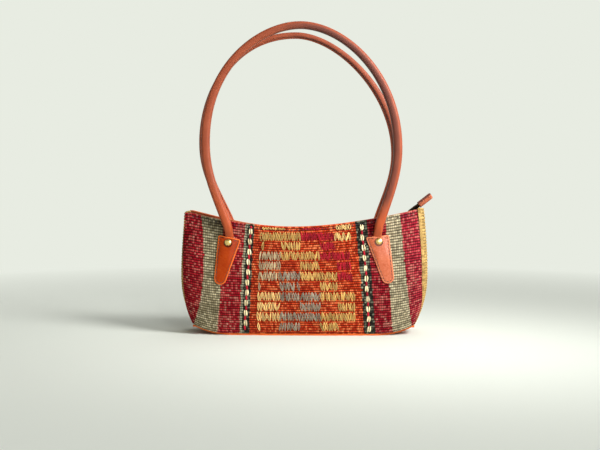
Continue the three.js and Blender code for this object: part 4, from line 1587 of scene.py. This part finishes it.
    def sew(self, build: Build, line: Array) -> None:
        """Adds the saddle stitches along the tab's edge, apart from where the handle comes out.

        Args:
            build: The piece so far.
            line: The outline, across and down.
        """
        path = line + self.inward(line) * self.stitch_inset
        count = round(distances(np.vstack([path, path[:1]]))[-1] / self.thread.pitch)
        fine = resample(path, count * self.stitch_steps, closed=True)
        reach = round(self.stitch_steps * self.thread.length / self.thread.pitch)
        for first in range(0, len(fine), self.stitch_steps):
            ends = fine[[first, first + reach]]
            if (ends[:, 1] < self.end_radius).all() and (np.abs(ends[:, 0]) < self.strap_width / 2).any():
                continue
            seat = self.over(ends, self.stitch_seat * self.leather)
            self.thread.add(build, seat, self.wall.out(seat[0, 0], seat[0, 2], self.side.value))

    def build(self) -> None:
        """Makes the tab, in a paler copy of the leather at the right as painted sheen of the light from the
        right, and puts it on the bag.
        """
        leather = PALE_LEATHER_WITH_PAINTED_SHEEN if self.end is End.RIGHT else LEATHER
        build = Build()
        line = self.outline()
        self.skin(build, line)
        self.press(build)
        self.sew(build, line)
        made = build.piece(f"{self.word}_leather_tab", leather, DARK_THREAD, weld=0.01)
        settle(made, "bag", "leather", f"{self.word}_tab")


@dataclass
class Rivet:
    """A domed brass rivet through a tab, the handle's end and the panel."""

    tab: Tab
    radius: float = 4.7
    dome: float = 2.4
    lip: float = 0.5
    dome_curve: float = 0.85
    dome_points: int = 10
    shank: float = 1.5
    washer: float = 1.2
    axis_radius: float = 0.01
    sides: int = 40

    def profile(self) -> list[Pair]:
        """The rivet's outline from its washer to the top of its dome, as radii and heights.

        Returns:
            Points in order.
        """
        tab, radius = self.tab, self.radius
        seat = 2 * tab.wall.fit + tab.strap + tab.leather
        back = -tab.wall.cloth - tab.wall.fit
        far = back - self.washer
        arc = np.linspace(0, pi / 2, self.dome_points)
        dome = [(radius * cos(turn) ** self.dome_curve,
                 seat + self.lip + (self.dome - self.lip) * sin(turn)) for turn in arc]
        # Washer, shank, and the cap's underside and rounded lip, before its dome
        return [(self.axis_radius, far), (radius - 0.5, far), (radius - 0.3, back), (self.shank, back),
                (self.shank, seat - 0.4), (radius - 0.5, seat - 0.1), (radius - 0.1, seat + 0.15),
                *dome[:-1], (self.axis_radius, seat + self.dome)]

    def build(self) -> None:
        """Makes the rivet and puts it on the bag."""
        tab = self.tab
        centre = tab.place(0.0, tab.rivet_drop, 0.0)
        out = tab.wall.out(centre[0], centre[2], tab.side.value)
        across = unit(np.cross(out, [0.0, 0.0, 1.0]))
        upward = np.cross(across, out)
        turn = circle(self.sides)
        around = np.cos(turn)[:, None] * across + np.sin(turn)[:, None] * upward
        build = Build()
        rings = [centre + radius * around + height * out for radius, height in self.profile()]
        build.grid(np.stack(rings), wrap=True, caps=True)
        settle(build.piece(f"{tab.word}_brass_rivet", BRASS), "bag", "brass", f"{tab.word}_rivet")


# Handles

@dataclass
class Handle:
    """A rolled leather handle: its arch, its sewn seam and its flat ends under the tabs."""

    wall: Wall
    side: Side
    spread: float
    rise: float
    top_lean: float
    left_crown: Pair
    right_crown: Pair
    crown_scale: float
    foot_lean: float
    core: float
    core_shift: float
    seam_turn: float
    # Inward sizes where the painted shade starts, is full, begins to fade and ends: the front handle's inner
    # side, the back one's seam groove
    worn_band: tuple[float, float, float, float]
    waist_rise: float = 106.0
    lean_power: float = 1.4
    foot_reach: float = 45.0
    core_points: int = 25
    seam_start: float = 4.1
    seam_reach: float = 7.2
    seam_half: float = 1.5
    squareness: float = 0.72
    foot_radius: float = 4.4
    foot_scale: float = 0.93
    splay: float = 8.0
    strap_stops: tuple[float, ...] = (16.0, 8.0, 3.0)
    roll_start: float = -4.0
    roll_end: float = 16.0
    taper_start: float = 2.0
    taper: float = 30.0
    curve_points: int = 60
    arch_stride: int = 3
    fill_points: int = 8
    steps: int = 260
    end_steps: int = 40
    stitch_start: float = 30.0
    stitch_inset: float = 1.3
    stitch_stand: float = 0.05
    thread: Stitch = Stitch(0.36, 4.4, 3.0)
    # Painted shade and reflection inside the loop's right half: how dark, where along the bag it starts and
    # is full, and its share down the leg
    painted_shade: float = 0.85
    painted_shade_start: float = -70.0
    painted_shade_full: float = 40.0
    leg_painted_shade: float = 0.74
    leg_painted_shade_height: float = 200.0
    painted_shade_height: float = 360.0
    fresh: float = 0.7
    fresh_height: float = 150.0
    fresh_end: float = 190.0
    fresh_left_end: float = 225.0
    bend_start: float = 132.0
    bend_end: float = 147.0

    def tab(self, end: End) -> Tab:
        """The tab over one of the handle's ends, as the frame has it."""
        return Tab(self.wall, self.side, end)

    def foot(self) -> tuple[float, float, float]:
        """Where the handle turns at its right foot, with its depth as a plain distance.

        Returns:
            Place, depth and height.
        """
        tab = self.tab(End.RIGHT)
        x = self.wall.length / 2 - tab.inset
        top = self.wall.rim_height - tab.drop
        plain = Wall(sag=0.0)
        depth = abs(float(plain.at(x, top, self.side.value, self.foot_radius + self.wall.fit)[1]))
        return x, depth, top + self.foot_radius + 2 * self.wall.fit

    def arch(self) -> Array:
        """Middle line of the arch from its left foot to its right one.

        Returns:
            Points in order.
        """
        foot, depth, low = self.foot()
        half = foot + self.spread
        waist, top = self.wall.rim_height + self.waist_rise, self.wall.rim_height + self.rise
        lean = radians(self.foot_lean)
        reach = self.foot_reach
        leg = bezier([(foot, low), (foot + reach * sin(lean), low + reach * cos(lean)),
                      (half, waist - reach), (half, waist)], self.curve_points)
        halves = []
        for upward, across in (self.left_crown, self.right_crown):
            crown = bezier([(half, waist), (half, blend(waist, top, upward)), (across * half, top), (0, top)],
                           self.curve_points)
            halves.append(np.vstack([leg, crown[1:]]))
        flat = np.vstack([halves[0] * [-1, 1], halves[1][::-1][1:]])
        climb = (flat[:, 1] - low) / (top - low)
        x = flat[:, 0] + self.top_lean * (1 - (1 - climb) ** self.lean_power)
        return np.stack([x, self.side.value * (depth + self.splay * climb), flat[:, 1]], axis=1)

    def path(self) -> Array:
        """The whole middle line, from the end under the left tab to the end under the right one.

        Returns:
            Points in order.
        """
        straps = []
        for end in End:
            tab = self.tab(end)
            downs = np.array([tab.strap_length, *self.strap_stops])
            straps.append(tab.place(np.zeros(len(downs)), downs, self.wall.fit + tab.strap / 2))
        stride = self.arch_stride
        arch = resample(self.arch(), self.steps)[stride:-stride:stride]
        line = np.vstack([straps[0], arch, straps[1][::-1]])
        return resample(through(line, self.fill_points), self.steps + self.end_steps)

    def section(self) -> Array:
        """The rolled strip's section, as inward and sideways sizes, with its sewn seam turned aside.

        Returns:
            Points in order.
        """
        open_turn = degrees(acos(self.seam_start / self.core))
        turn = np.radians(np.linspace(open_turn - 180, 180 - open_turn, self.core_points))
        core = np.stack([-self.core * np.cos(turn), self.core * np.sin(turn)], axis=1)
        half, start, reach = self.seam_half, self.seam_start, self.seam_reach + self.core_shift / 2
        # Inward and sideways sizes of one half of the seam, to its rounded edge
        seam = np.array([(start + 0.4, half - 0.2), (start + 0.9, half), (reach - 1.2, half + 0.1),
                         (reach - 0.5, half - 0.05), (reach, half - 0.6)])
        whole = np.vstack([core, seam, seam[::-1] * [1, -1]])
        angle = radians(self.seam_turn)
        turned = whole @ np.array([[cos(angle), sin(angle)], [-sin(angle), cos(angle)]])
        around = turned[:len(core)] / self.core
        turned[:len(core)] = self.core * np.sign(around) * np.abs(around) ** self.squareness
        return turned + [self.core_shift, 0.0]

    def shades(self, path: Array) -> Array:
        """Shade of each ring's points: painted shade inside the loop's right half, and fresh near the tabs.

        Args:
            path: Middle line of the handle.

        Returns:
            Shades as rings and section points.
        """
        inward = self.section()[:, 0]
        start, full, last, end = self.worn_band
        inner = smoothstep(inward, start, full) * (1 - smoothstep(inward, last, end))
        right = self.painted_shade * smoothstep(path[:, 0], self.painted_shade_start, self.painted_shade_full)
        right *= blend(self.leg_painted_shade, 1.0, smoothstep(path[:, 2], self.leg_painted_shade_height, self.painted_shade_height))
        end_height = np.where(path[:, 0] < 0, self.fresh_left_end, self.fresh_end)
        fresh = 1 - smoothstep(path[:, 2], self.fresh_height, end_height)
        return blend(-inner[None, :] * right[:, None], self.fresh, fresh[:, None])

    def build(self) -> None:
        """Makes the handle, which bends over its tabs' top edges."""
        path = self.path()
        along = distances(path)
        past_strap = np.minimum(along, along[-1] - along) - self.tab(End.LEFT).strap_length
        tangent = unit(np.gradient(path, axis=0))
        sideways = np.tile([0.0, -float(self.side.value), 0.0], (len(path), 1))
        sideways = unit(sideways - tangent * (sideways * tangent).sum(axis=1, keepdims=True))
        inward = unit(np.cross(tangent, sideways)) * self.side.value
        crowned = smoothstep(path[:, 2], self.wall.rim_height + self.waist_rise, path[:, 2].max())
        scale = blend(self.foot_scale, 1.0, smoothstep(past_strap, self.taper_start, self.taper))
        scale = scale * blend(1.0, self.crown_scale, crowned)
        thin = blend(1.0 / self.core, 1.0, smoothstep(past_strap, self.roll_start, self.roll_end))
        section = self.section()
        depth = section[None, :, 0] * scale[:, None]
        thick = section[None, :, 1] * (scale * thin)[:, None]
        rings = path[:, None, :] + inward[:, None, :] * depth[..., None]
        rings = rings + sideways[:, None, :] * thick[..., None]
        build = Build()
        build.grid(rings, wrap=True, caps=True, shade=self.shades(path))
        angle = radians(self.seam_turn)
        first = self.tab(End.LEFT).strap_length + self.stitch_start
        for index in range(int((along[-1] - 2 * first) / self.thread.pitch)):
            start = first + index * self.thread.pitch
            ends = np.array([start, start + self.thread.length])
            line = np.stack([np.interp(ends, along, path[:, axis]) for axis in range(3)], axis=1)
            near = int(np.searchsorted(along, start))
            ahead = inward[near] * cos(angle) + sideways[near] * sin(angle)
            aside = sideways[near] * cos(angle) - inward[near] * sin(angle)
            middle = ahead * (self.seam_reach - self.stitch_inset) + inward[near] * self.core_shift
            for out in (-aside, aside):
                shift = (middle + out * (self.seam_half + self.stitch_stand)) * scale[near]
                self.thread.add(build, line + shift, out)
        word = self.side.word
        made = build.piece(f"{word}_rolled_handle", HANDLE_LEATHER, TAN_THREAD)
        y = self.side.value * self.foot()[1]
        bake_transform(made)
        ends = [f"{word}_{end.word}_handle_end" for end in End]
        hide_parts(f"{word}_handle", *ends)
        LOG.info("%s, %d faces", made.name, len(made.data.polygons))


# Base, facings and lining

@dataclass
class Inside:
    """The leather base, the rim's facings, and the lining."""

    wall: Wall
    base_leather: float = 2.5
    base_points: int = 121
    base_rows: int = 15
    base_edge: float = 1.0
    base_corner_inset: float = 5.0
    stitch_sink: float = 0.55
    stitch_inset: float = 3.2
    stitch_start: float = 6.0
    stitch_end: float = 8.0
    thread: Stitch = Stitch(0.4, 5.0, 3.4)
    facing_leather: float = 1.6
    facing_points: int = 140
    facing_drop: float = 21.0
    facing_middle: float = 10.0
    facing_stand: float = 1.2
    facing_end_gap: float = 0.8
    lining_cloth: float = 0.8
    lining_tuck: float = 5.0
    lining_end_gap: float = 4.0
    lining_floor_gap: float = 0.6
    lining_points: int = 60
    lining_rows: int = 24
    fold_depth: float = 0.8
    fold_turns: float = 23.0
    fold_twist: float = 4.0

    @property
    def facing_inside(self) -> float:
        """Distance of the facing's inner face behind the panel's outer one."""
        return self.wall.cloth + self.wall.fit + self.facing_leather

    def base(self) -> None:
        """Makes the leather base with its sewn edge."""
        wall, thick = self.wall, self.base_leather
        half = float(wall.half_length(0.0))
        whole = half + wall.fit + wall.cloth
        places = np.concatenate([[-whole], np.linspace(-half, half, self.base_points), [whole]])
        inside = np.clip(places, -half, half)
        past = np.clip((np.abs(inside) - half + wall.corner_length) / wall.corner_length, 0, 1)
        reach = wall.half_depth(0.0) - wall.set_back(0.0) * (inside / half) ** 2
        reach = reach - self.base_corner_inset * np.sqrt(past)
        top = wall.lower(inside) - wall.fit
        # Inset and depth of the cut edge's rounding
        edge = [(0.3, 0.12), (0.0, 0.5), (0.0, thick - 0.5), (0.3, thick - 0.12)]
        across = np.linspace(-1, 1, self.base_rows)
        rows = [(share * (reach - self.base_edge), 0.0) for share in across]
        rows += [(reach - inset, down) for inset, down in edge]
        rows += [(-y, thick - down) for y, down in rows]
        points = np.stack([np.stack([places, y, top - down], axis=1) for y, down in rows], axis=1)
        # The cut edge takes the pale edge colour: partly the leather's own edge, partly painted light on an
        # edge in the wool's shade
        pale = np.concatenate([np.zeros(len(across)), np.ones(len(edge))])
        build = Build()
        build.grid(points, wrap=True, caps=True, shade=np.tile(pale, 2))
        for side in Side:
            for start in np.arange(-half + self.stitch_start, half - self.stitch_end, self.thread.pitch):
                ends = np.array([start, start + self.thread.length])
                y = side.value * (np.interp(ends, places, reach) - self.stitch_inset)
                z = np.interp(ends, places, top) - thick + self.stitch_sink
                self.thread.add(build, np.stack([ends, y, z], axis=1), np.array([0.0, 0.0, -1.0]))
        settle(build.piece("sewn_leather_base", LEATHER, DARK_THREAD), "bag", "leather", "leather_base")

    def facing(self, side: Side) -> None:
        """Makes the leather strip inside a rim.

        Args:
            side: Which face of the bag.
        """
        wall, sign = self.wall, side.value
        half = wall.rim_length / 2 - self.facing_end_gap
        x = np.linspace(-half - wall.flare(1.0, sign, -1), half, self.facing_points)
        outer, inner = wall.cloth + wall.fit, self.facing_inside
        stand, low, middle = self.facing_stand, -self.facing_drop, -self.facing_middle
        # Rise over the mouth, distance behind the panel's face, and shade: pale on the cut edge on top, a
        # dark line under it as painted shade of a stitched groove, and painted shadow of the panel lower down
        loop = [(low, outer, 0.0), (middle, outer, 0.0), (stand - 0.5, outer, 0.8),
                (stand - 0.1, outer + 0.25, 0.8), (stand, (outer + inner) / 2, 0.8),
                (stand - 0.1, inner - 0.25, 0.8), (stand - 0.5, inner, 0.5), (-1.2, inner, -0.9),
                (-2.2, inner, -0.8), (-3.4, inner, 0.0), (middle, inner, -0.2), (low, inner, -0.3)]
        rows = [wall.at(x, wall.mouth(x, sign) + rise, sign, -inset) for rise, inset, _ in loop]
        shades = np.array([shade for *_, shade in loop])
        build = Build()
        build.grid(np.stack(rows, axis=1), wrap=True, caps=True, shade=shades)
        made = build.piece(f"{side.word}_rim_facing", FACING_LEATHER)
        settle(made, "bag", "leather", f"{side.word}_facing")

    def lining(self) -> None:
        """Makes the cotton lining, a pouch with soft folds."""
        wall = self.wall
        along = np.linspace(-1, 1, self.lining_points)

        def ring(share: float, inset: float) -> Array:
            """One closed line of the pouch at a share of its height.

            Args:
                share: The share.
                inset: Distance inside the pouch's outer face.

            Returns:
                Points in order.
            """
            gap = self.lining_end_gap + inset
            fold = 0.5 * (1 + np.sin(along * self.fold_turns + self.fold_twist * share))
            fold = self.fold_depth * fold * sin(pi * share)
            rows = []
            for side in Side:
                reach = along * (wall.rim_length / 2 - gap)
                tuck = wall.mouth(reach, side.value) - self.facing_drop + self.lining_tuck
                level = share * wall.level_at(reach, tuck, side.value)
                behind = self.facing_inside + wall.fit + inset + fold
                points = wall.point(along * (wall.half_length(level) - gap), level, side.value, -behind)
                points[:, 2] += (self.lining_floor_gap + inset) * (1 - share)
                rows.append(points if side is Side.FRONT else points[::-1])
            return np.vstack(rows)

        shares = np.linspace(0, 1, self.lining_rows)
        inner = [ring(share, self.lining_cloth) for share in shares]
        outer = [ring(share, 0.0) for share in shares[::-1]]
        build = Build()
        build.grid(np.stack([*inner, *outer]), wrap=True, caps=True)
        made = build.piece("cotton_lining", COTTON)
        settle(made, "bag", "lining", "lining")

    def build(self) -> None:
        """Makes the base, the facings and the lining."""
        self.base()
        for side in Side:
            self.facing(side)
        self.lining()


# Zip

@dataclass
class Zip:
    """The zip in the mouth: tapes, teeth, stops, slider and pull."""

    wall: Wall
    inside: Inside
    end_gap: float = 3.5
    drop: float = 9.5
    tape: float = 0.8
    tape_sag: float = 0.7
    tape_points: int = 130
    tape_rows: int = 9
    tape_cut: Pair = (0.304, 0.0125)
    tooth_pitch: float = 4.0
    tooth_length: float = 2.3
    tooth_height: float = 2.2
    tooth_flat: float = 0.6
    slit: float = 2.6
    root: float = 3.7
    stop_length: float = 3.0
    stop_gap: float = 2.0
    edge_soft: float = 0.25
    pull_eye: Pair = (139.67, 160.916)
    pull_lean: float = 38.0
    eye_radius: float = 2.0
    eye_end: float = 8.4
    eye_wire: float = 0.9
    eye_sides: int = 10
    eye_turn_points: int = 15
    rail_points: int = 7
    link_start: float = 7.6
    link_end: float = 30.5
    link_points: int = 16
    link_width: float = 8.4
    link_sheet: float = 1.3
    link_soft: float = 0.4
    link_roll: float = -48.0
    link_twist: Pair = (2.0, 10.0)
    grip_start: float = 25.05
    grip_twist: float = 16.0
    strip_length: float = 22.0
    strip_width: float = 9.2
    strip_thickness: float = 4.4
    strip_roll: float = -42.0
    strip_points: int = 14
    strip_end_points: int = 6
    strip_end: float = 0.05
    stitch_start: float = 2.0
    stitch_end: float = 5.0
    stitch_inset: float = 1.3
    stitch_sink: float = 0.05
    thread: Stitch = Stitch(0.28, 3.6, 2.4)

    @property
    def radius(self) -> float:
        """Radius of the zip's line."""
        return self.wall.rim_radius + self.drop

    @property
    def length(self) -> float:
        """Length of the zip."""
        return self.wall.rim_length - 2 * self.end_gap

    def point(self, distance: Values, y: Values, above: Values) -> Array:
        """A point by its distance along the zip, across it and above it.

        Args:
            distance: Distance from its middle.
            y: Distance across.
            above: Distance above.

        Returns:
            The point or points.
        """
        distance, y, above = np.broadcast_arrays(distance, y, above)
        angle = distance / self.radius
        reach = self.radius - above
        return np.stack([reach * np.sin(angle), y, self.wall.rim_centre - reach * np.cos(angle)], axis=-1)

    def woven_tape(self, side: Side) -> None:
        """Makes a tape, which sags a little between the teeth and the facing.

        Args:
            side: Which half of the zip.
        """
        sign, half = side.value, self.tape / 2
        distance = np.linspace(-self.length / 2, self.length / 2, self.tape_points)
        edge = self.point(distance, 0.0, 0.0)
        near = sign * (self.root + self.wall.fit)
        far = self.wall.at(edge[:, 0], edge[:, 2], sign, -self.inside.facing_inside - self.wall.fit)[:, 1]
        shares = np.linspace(0, 1, self.tape_rows)
        rows = [(share, half) for share in shares] + [(share, -half) for share in shares[::-1]]
        loop = []
        for share, above in rows:
            sag = self.tape_sag * sin(pi * share)
            loop.append(self.point(distance, blend(near, far, share), above - sag))
        build = Build()
        build.grid(np.stack(loop, axis=1), wrap=True, caps=True)
        word = side.word
        made = build.piece(f"{word}_woven_tape", TAPE_CLOTH)
        settle(made, "bag", "zip_tape", f"{word}_zip_tape")

    def teeth(self, side: Side) -> None:
        """Makes one row of teeth.

        Args:
            side: Which half of the zip.
        """
        reach = self.length / 2 - self.stop_length - self.stop_gap
        count = int(2 * reach / self.tooth_pitch)
        start = -count * self.tooth_pitch / 2 + (self.tooth_pitch / 2 if side is Side.BACK else 0)
        # Distance from the zip's middle, and shares of the tooth's length and height
        profile = ((self.root, 0.75, 0.7), (self.root - 0.25, 1.0, 1.0), (2.2, 1.0, 1.0), (1.6, 0.7, 0.85),
                   (self.slit / 2, 0.5, 0.6))
        build = Build()
        for middle in start + self.tooth_pitch * np.arange(count):
            rings = []
            for y, wide, tall in profile:
                half, high = self.tooth_length / 2 * wide, self.tooth_height / 2 * tall
                corners = chamfered(half, high, self.tooth_flat * half, self.tooth_flat * high)
                rings.append(self.point(middle + corners[:, 0], side.value * y, corners[:, 1]))
            build.grid(np.stack(rings), wrap=True, caps=True)
        word = side.word
        settle(build.piece(f"{word}_teeth_row", DARK_BRASS), "bag", "zip_metal", f"{word}_zip_teeth")

    def along_pull(self, distance: Values, across: Values, above: Values) -> Array:
        """A point of the pull, which is twisted along its length.

        Args:
            distance: Distance from its hinge.
            across: Distance from its middle along its width.
            above: Distance from its middle along its thickness.

        Returns:
            The point or points.
        """
        distance, across, above = np.broadcast_arrays(distance, across, above)
        link = self.link_roll * smoothstep(distance, *self.link_twist)
        gripped = smoothstep(distance, self.grip_twist, self.grip_start)
        turn = np.radians(blend(link, self.strip_roll, gripped))
        sideways = across * np.cos(turn) - above * np.sin(turn)
        upward = across * np.sin(turn) + above * np.cos(turn)
        lean = radians(self.pull_lean)
        x = self.pull_eye[0] + distance * cos(lean) - upward * sin(lean)
        z = self.pull_eye[1] + distance * sin(lean) + upward * cos(lean)
        return np.stack([x, sideways, z], axis=-1)

    def link(self) -> None:
        """Makes the pull's twisted link, with the eye that hangs on the slider."""
        radius, half, wide = self.eye_radius, self.link_sheet / 2, self.link_width / 2
        turn = np.linspace(-pi / 2, -3 * pi / 2, self.eye_turn_points)[1:-1]
        rail = np.linspace(self.eye_end, radius, self.rail_points)
        beside = np.full(self.rail_points, radius)
        distance = np.concatenate([rail, radius * (1 + np.cos(turn)), rail[::-1]])
        across = np.concatenate([-beside, radius * np.sin(turn), beside])
        path = self.along_pull(distance, across, 0.0)
        out = self.along_pull(distance, across, 1.0) - path
        build = Build()
        wire = np.full(len(path), self.eye_wire)
        build.strand(path, wire, np.full(len(path), half), out, sides=self.eye_sides)
        corners = chamfered(wide, half, wide - self.link_soft, half - self.link_soft)
        places = np.linspace(self.link_start, self.link_end, self.link_points)[:, None]
        build.grid(self.along_pull(places, corners[:, 0], corners[:, 1]), wrap=True, caps=True)
        settle(build.piece("pull_link", DARK_BRASS), "zip_pull", "zip_metal", "zip_pull_link")

    def strip(self) -> None:
        """Makes the two-ply leather strip at the pull's end, with dark cut edges and stitches."""
        start, far = self.grip_start, self.grip_start + self.strip_length
        half, thick = self.strip_width / 2, self.strip_thickness / 2
        # Across, up and shade, from the middle of the upper face round one edge to the lower face
        upper = [(0.0, thick, 0), (half - 0.8, thick, 0), (half - 0.2, thick - 0.15, -0.6),
                 (half, thick - 0.5, -1), (half, 0.3, -1)]
        corners = [*upper, (half - 0.3, 0.0, -1), *((y, -up, shade) for y, up, shade in upper[::-1])]
        corners += [(-y, up, shade) for y, up, shade in corners[-2:0:-1]]
        section = np.array(corners)
        turn = np.linspace(0, pi / 2, self.strip_end_points + 1)[1:]
        straight = np.linspace(start, far - thick, self.strip_points)
        places = np.concatenate([straight, far - thick + thick * np.sin(turn)])[:, None]
        thin = np.concatenate([np.ones(self.strip_points), np.maximum(np.cos(turn), self.strip_end)])[:, None]
        build = Build()
        rings = self.along_pull(places, section[:, 0], section[:, 1] * thin)
        build.grid(rings, wrap=True, caps=True, shade=section[:, 2])
        for face, edge in itertools.product((-1, 1), (-1, 1)):
            across = edge * (half - self.stitch_inset)
            for place in np.arange(start + self.stitch_start, far - self.stitch_end, self.thread.pitch):
                ends = np.array([place, place + self.thread.length])
                line = self.along_pull(ends, across, face * (thick - self.stitch_sink))
                out = self.along_pull(ends, across, face * thick) - line
                self.thread.add(build, line, unit(out[0]))
        made = build.piece("pull_leather_strip", PALE_LEATHER_WITH_PAINTED_SHEEN, DARK_THREAD)
        settle(made, "zip_pull", "leather", "zip_pull_leather")

    def metal(self, nodes: dict[str, Object]) -> None:
        """Dresses the frame's own slider and stops in dark brass with softened edges.

        Args:
            nodes: The frame's nodes by name.
        """
        for name in ("zip_slider", "zip_left_stop", "zip_right_stop"):
            node = nodes[name]
            node.data.materials.clear()
            node.data.materials.append(DARK_BRASS.material())
            soften = node.modifiers.new("soften", "BEVEL")
            soften.width = self.edge_soft * MM
            soften.segments = 2
            soften.limit_method = "ANGLE"
            LOG.info("%s dressed", name)

    def build(self, nodes: dict[str, Object]) -> None:
        """Makes the whole zip.

        Args:
            nodes: The frame's nodes by name.
        """
        for side in Side:
            self.woven_tape(side)
            self.teeth(side)
        self.link()
        self.strip()
        self.metal(nodes)


# Studio

@dataclass(frozen=True)
class Lamp:
    """A square lamp: its place and side in metres, its power in watts and its spread in degrees."""

    name: str
    place: tuple[float, float, float]
    size: float
    power: float
    spread: float = 180.0

    def build(self, target: Vector) -> None:
        """Makes the lamp, turned to a point.

        Args:
            target: The point, in metres.
        """
        data = bpy.data.lights.new(self.name, "AREA")
        data.size = self.size
        data.energy = self.power
        data.spread = radians(self.spread)
        made = in_scene(self.name, data)
        made.location = self.place
        made.rotation_euler = aimed(target - Vector(self.place))


@dataclass
class Studio:
    """The camera at the photograph's place, soft lamps, and a pale bowl for floor and backdrop."""

    eye: tuple[float, float, float] = (26.1, -1331.8, 196.9)
    heading: float = -1.346
    pitch: float = -2.083
    lens: float = 57.53
    sensor: float = 36.0
    lamps: tuple[Lamp, ...] = (
        Lamp("key", (0.5, -1.74, 0.9), 0.4, 9.0),
        Lamp("window", (0.7, -0.55, 0.7), 0.5, 3.4, spread=75.0),
        Lamp("above", (0.2, 0.9, 1.9), 1.2, 9.0),
    )
    lamp_target: tuple[float, float, float] = (0.0, 0.0, 0.17)
    room_colour: Colour = (1.0, 1.0, 0.98, 1.0)
    room_strength: float = 0.17
    floor_rings: tuple[float, ...] = (0.01, 0.6, 1.4)
    floor_radius: float = 2.6
    sweep_radius: float = 1.2
    sweep_points: int = 16
    wall_height: float = 3.4
    sides: int = 96

    def camera(self) -> None:
        """Makes the camera and hands it to the scene."""
        data = bpy.data.cameras.new("camera")
        data.lens = self.lens
        data.sensor_width = self.sensor
        heading, pitch = radians(self.heading), radians(self.pitch)
        level = cos(pitch)
        made = in_scene("camera", data)
        made.location = Vector(self.eye) * MM
        ahead = Vector((sin(heading) * level, cos(heading) * level, sin(pitch)))
        made.rotation_euler = aimed(ahead)
        bpy.context.scene.camera = made

    def bowl(self) -> None:
        """Makes the floor, which sweeps up into a backdrop all round."""
        floor, sweep = self.floor_radius, self.sweep_radius
        rise = np.linspace(0, pi / 2, self.sweep_points)
        profile = [*((radius, 0.0) for radius in self.floor_rings),
                   *((floor + sweep * sin(turn), sweep * (1 - cos(turn))) for turn in rise),
                   (floor + sweep, self.wall_height)]
        turn = circle(self.sides)
        rings = [np.stack([radius * np.cos(turn), radius * np.sin(turn), np.full(self.sides, height)], axis=1)
                 for radius, height in profile]
        build = Build()
        build.grid(np.stack(rings) / MM, wrap=True)
        build.piece("pale_bowl", PALE_FLOOR)

    def build(self) -> None:
        """Sets up the camera, the floor, the lamps and the even light of the room."""
        bpy.context.scene.view_settings.view_transform = "Standard"
        self.camera()
        self.bowl()
        for lamp in self.lamps:
            lamp.build(Vector(self.lamp_target))
        world = bpy.data.worlds.new("room")
        world.use_nodes = True
        light = world.node_tree.nodes["Background"].inputs
        light["Color"].default_value = self.room_colour
        light["Strength"].default_value = self.room_strength
        bpy.context.scene.world = world


def main() -> None:
    """Dresses the bag."""
    logging.basicConfig(level=logging.INFO, format="%(name)s: %(message)s")
    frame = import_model()
    wall = Wall()
    Panels(wall).build()
    Brocade(wall).build()
    RimSewing(wall).build()
    for side, end in itertools.product(Side, End):
        tab = Tab(wall, side, end)
        if (side, end) == (Side.FRONT, End.RIGHT):
            tab = Tab(wall, side, end, drop=15.6, lean=14.0, top_cut=8.0)
        tab.build()
        Rivet(tab).build()
    Handle(wall, Side.FRONT, spread=30.3, rise=268.4, top_lean=-4.4, left_crown=(0.678, 0.399),
           right_crown=(0.6, 0.448), crown_scale=0.86, foot_lean=16.7, core=6.0, core_shift=0.9,
           seam_turn=58.0, worn_band=(-2.0, 0.2, 8.0, 9.0)).build()
    Handle(wall, Side.BACK, spread=36.9, rise=267.3, top_lean=-12.9, left_crown=(0.49, 0.649),
           right_crown=(0.527, 0.428), crown_scale=0.74, foot_lean=18.5, core=5.2, core_shift=0.0,
           seam_turn=0.0, worn_band=(0.0, 3.6, 4.3, 5.1)).build()
    inside = Inside(wall)
    inside.build()
    Zip(wall, inside).build(frame["nodes"])
    Studio().build()


if __name__ == "__main__":
    main()
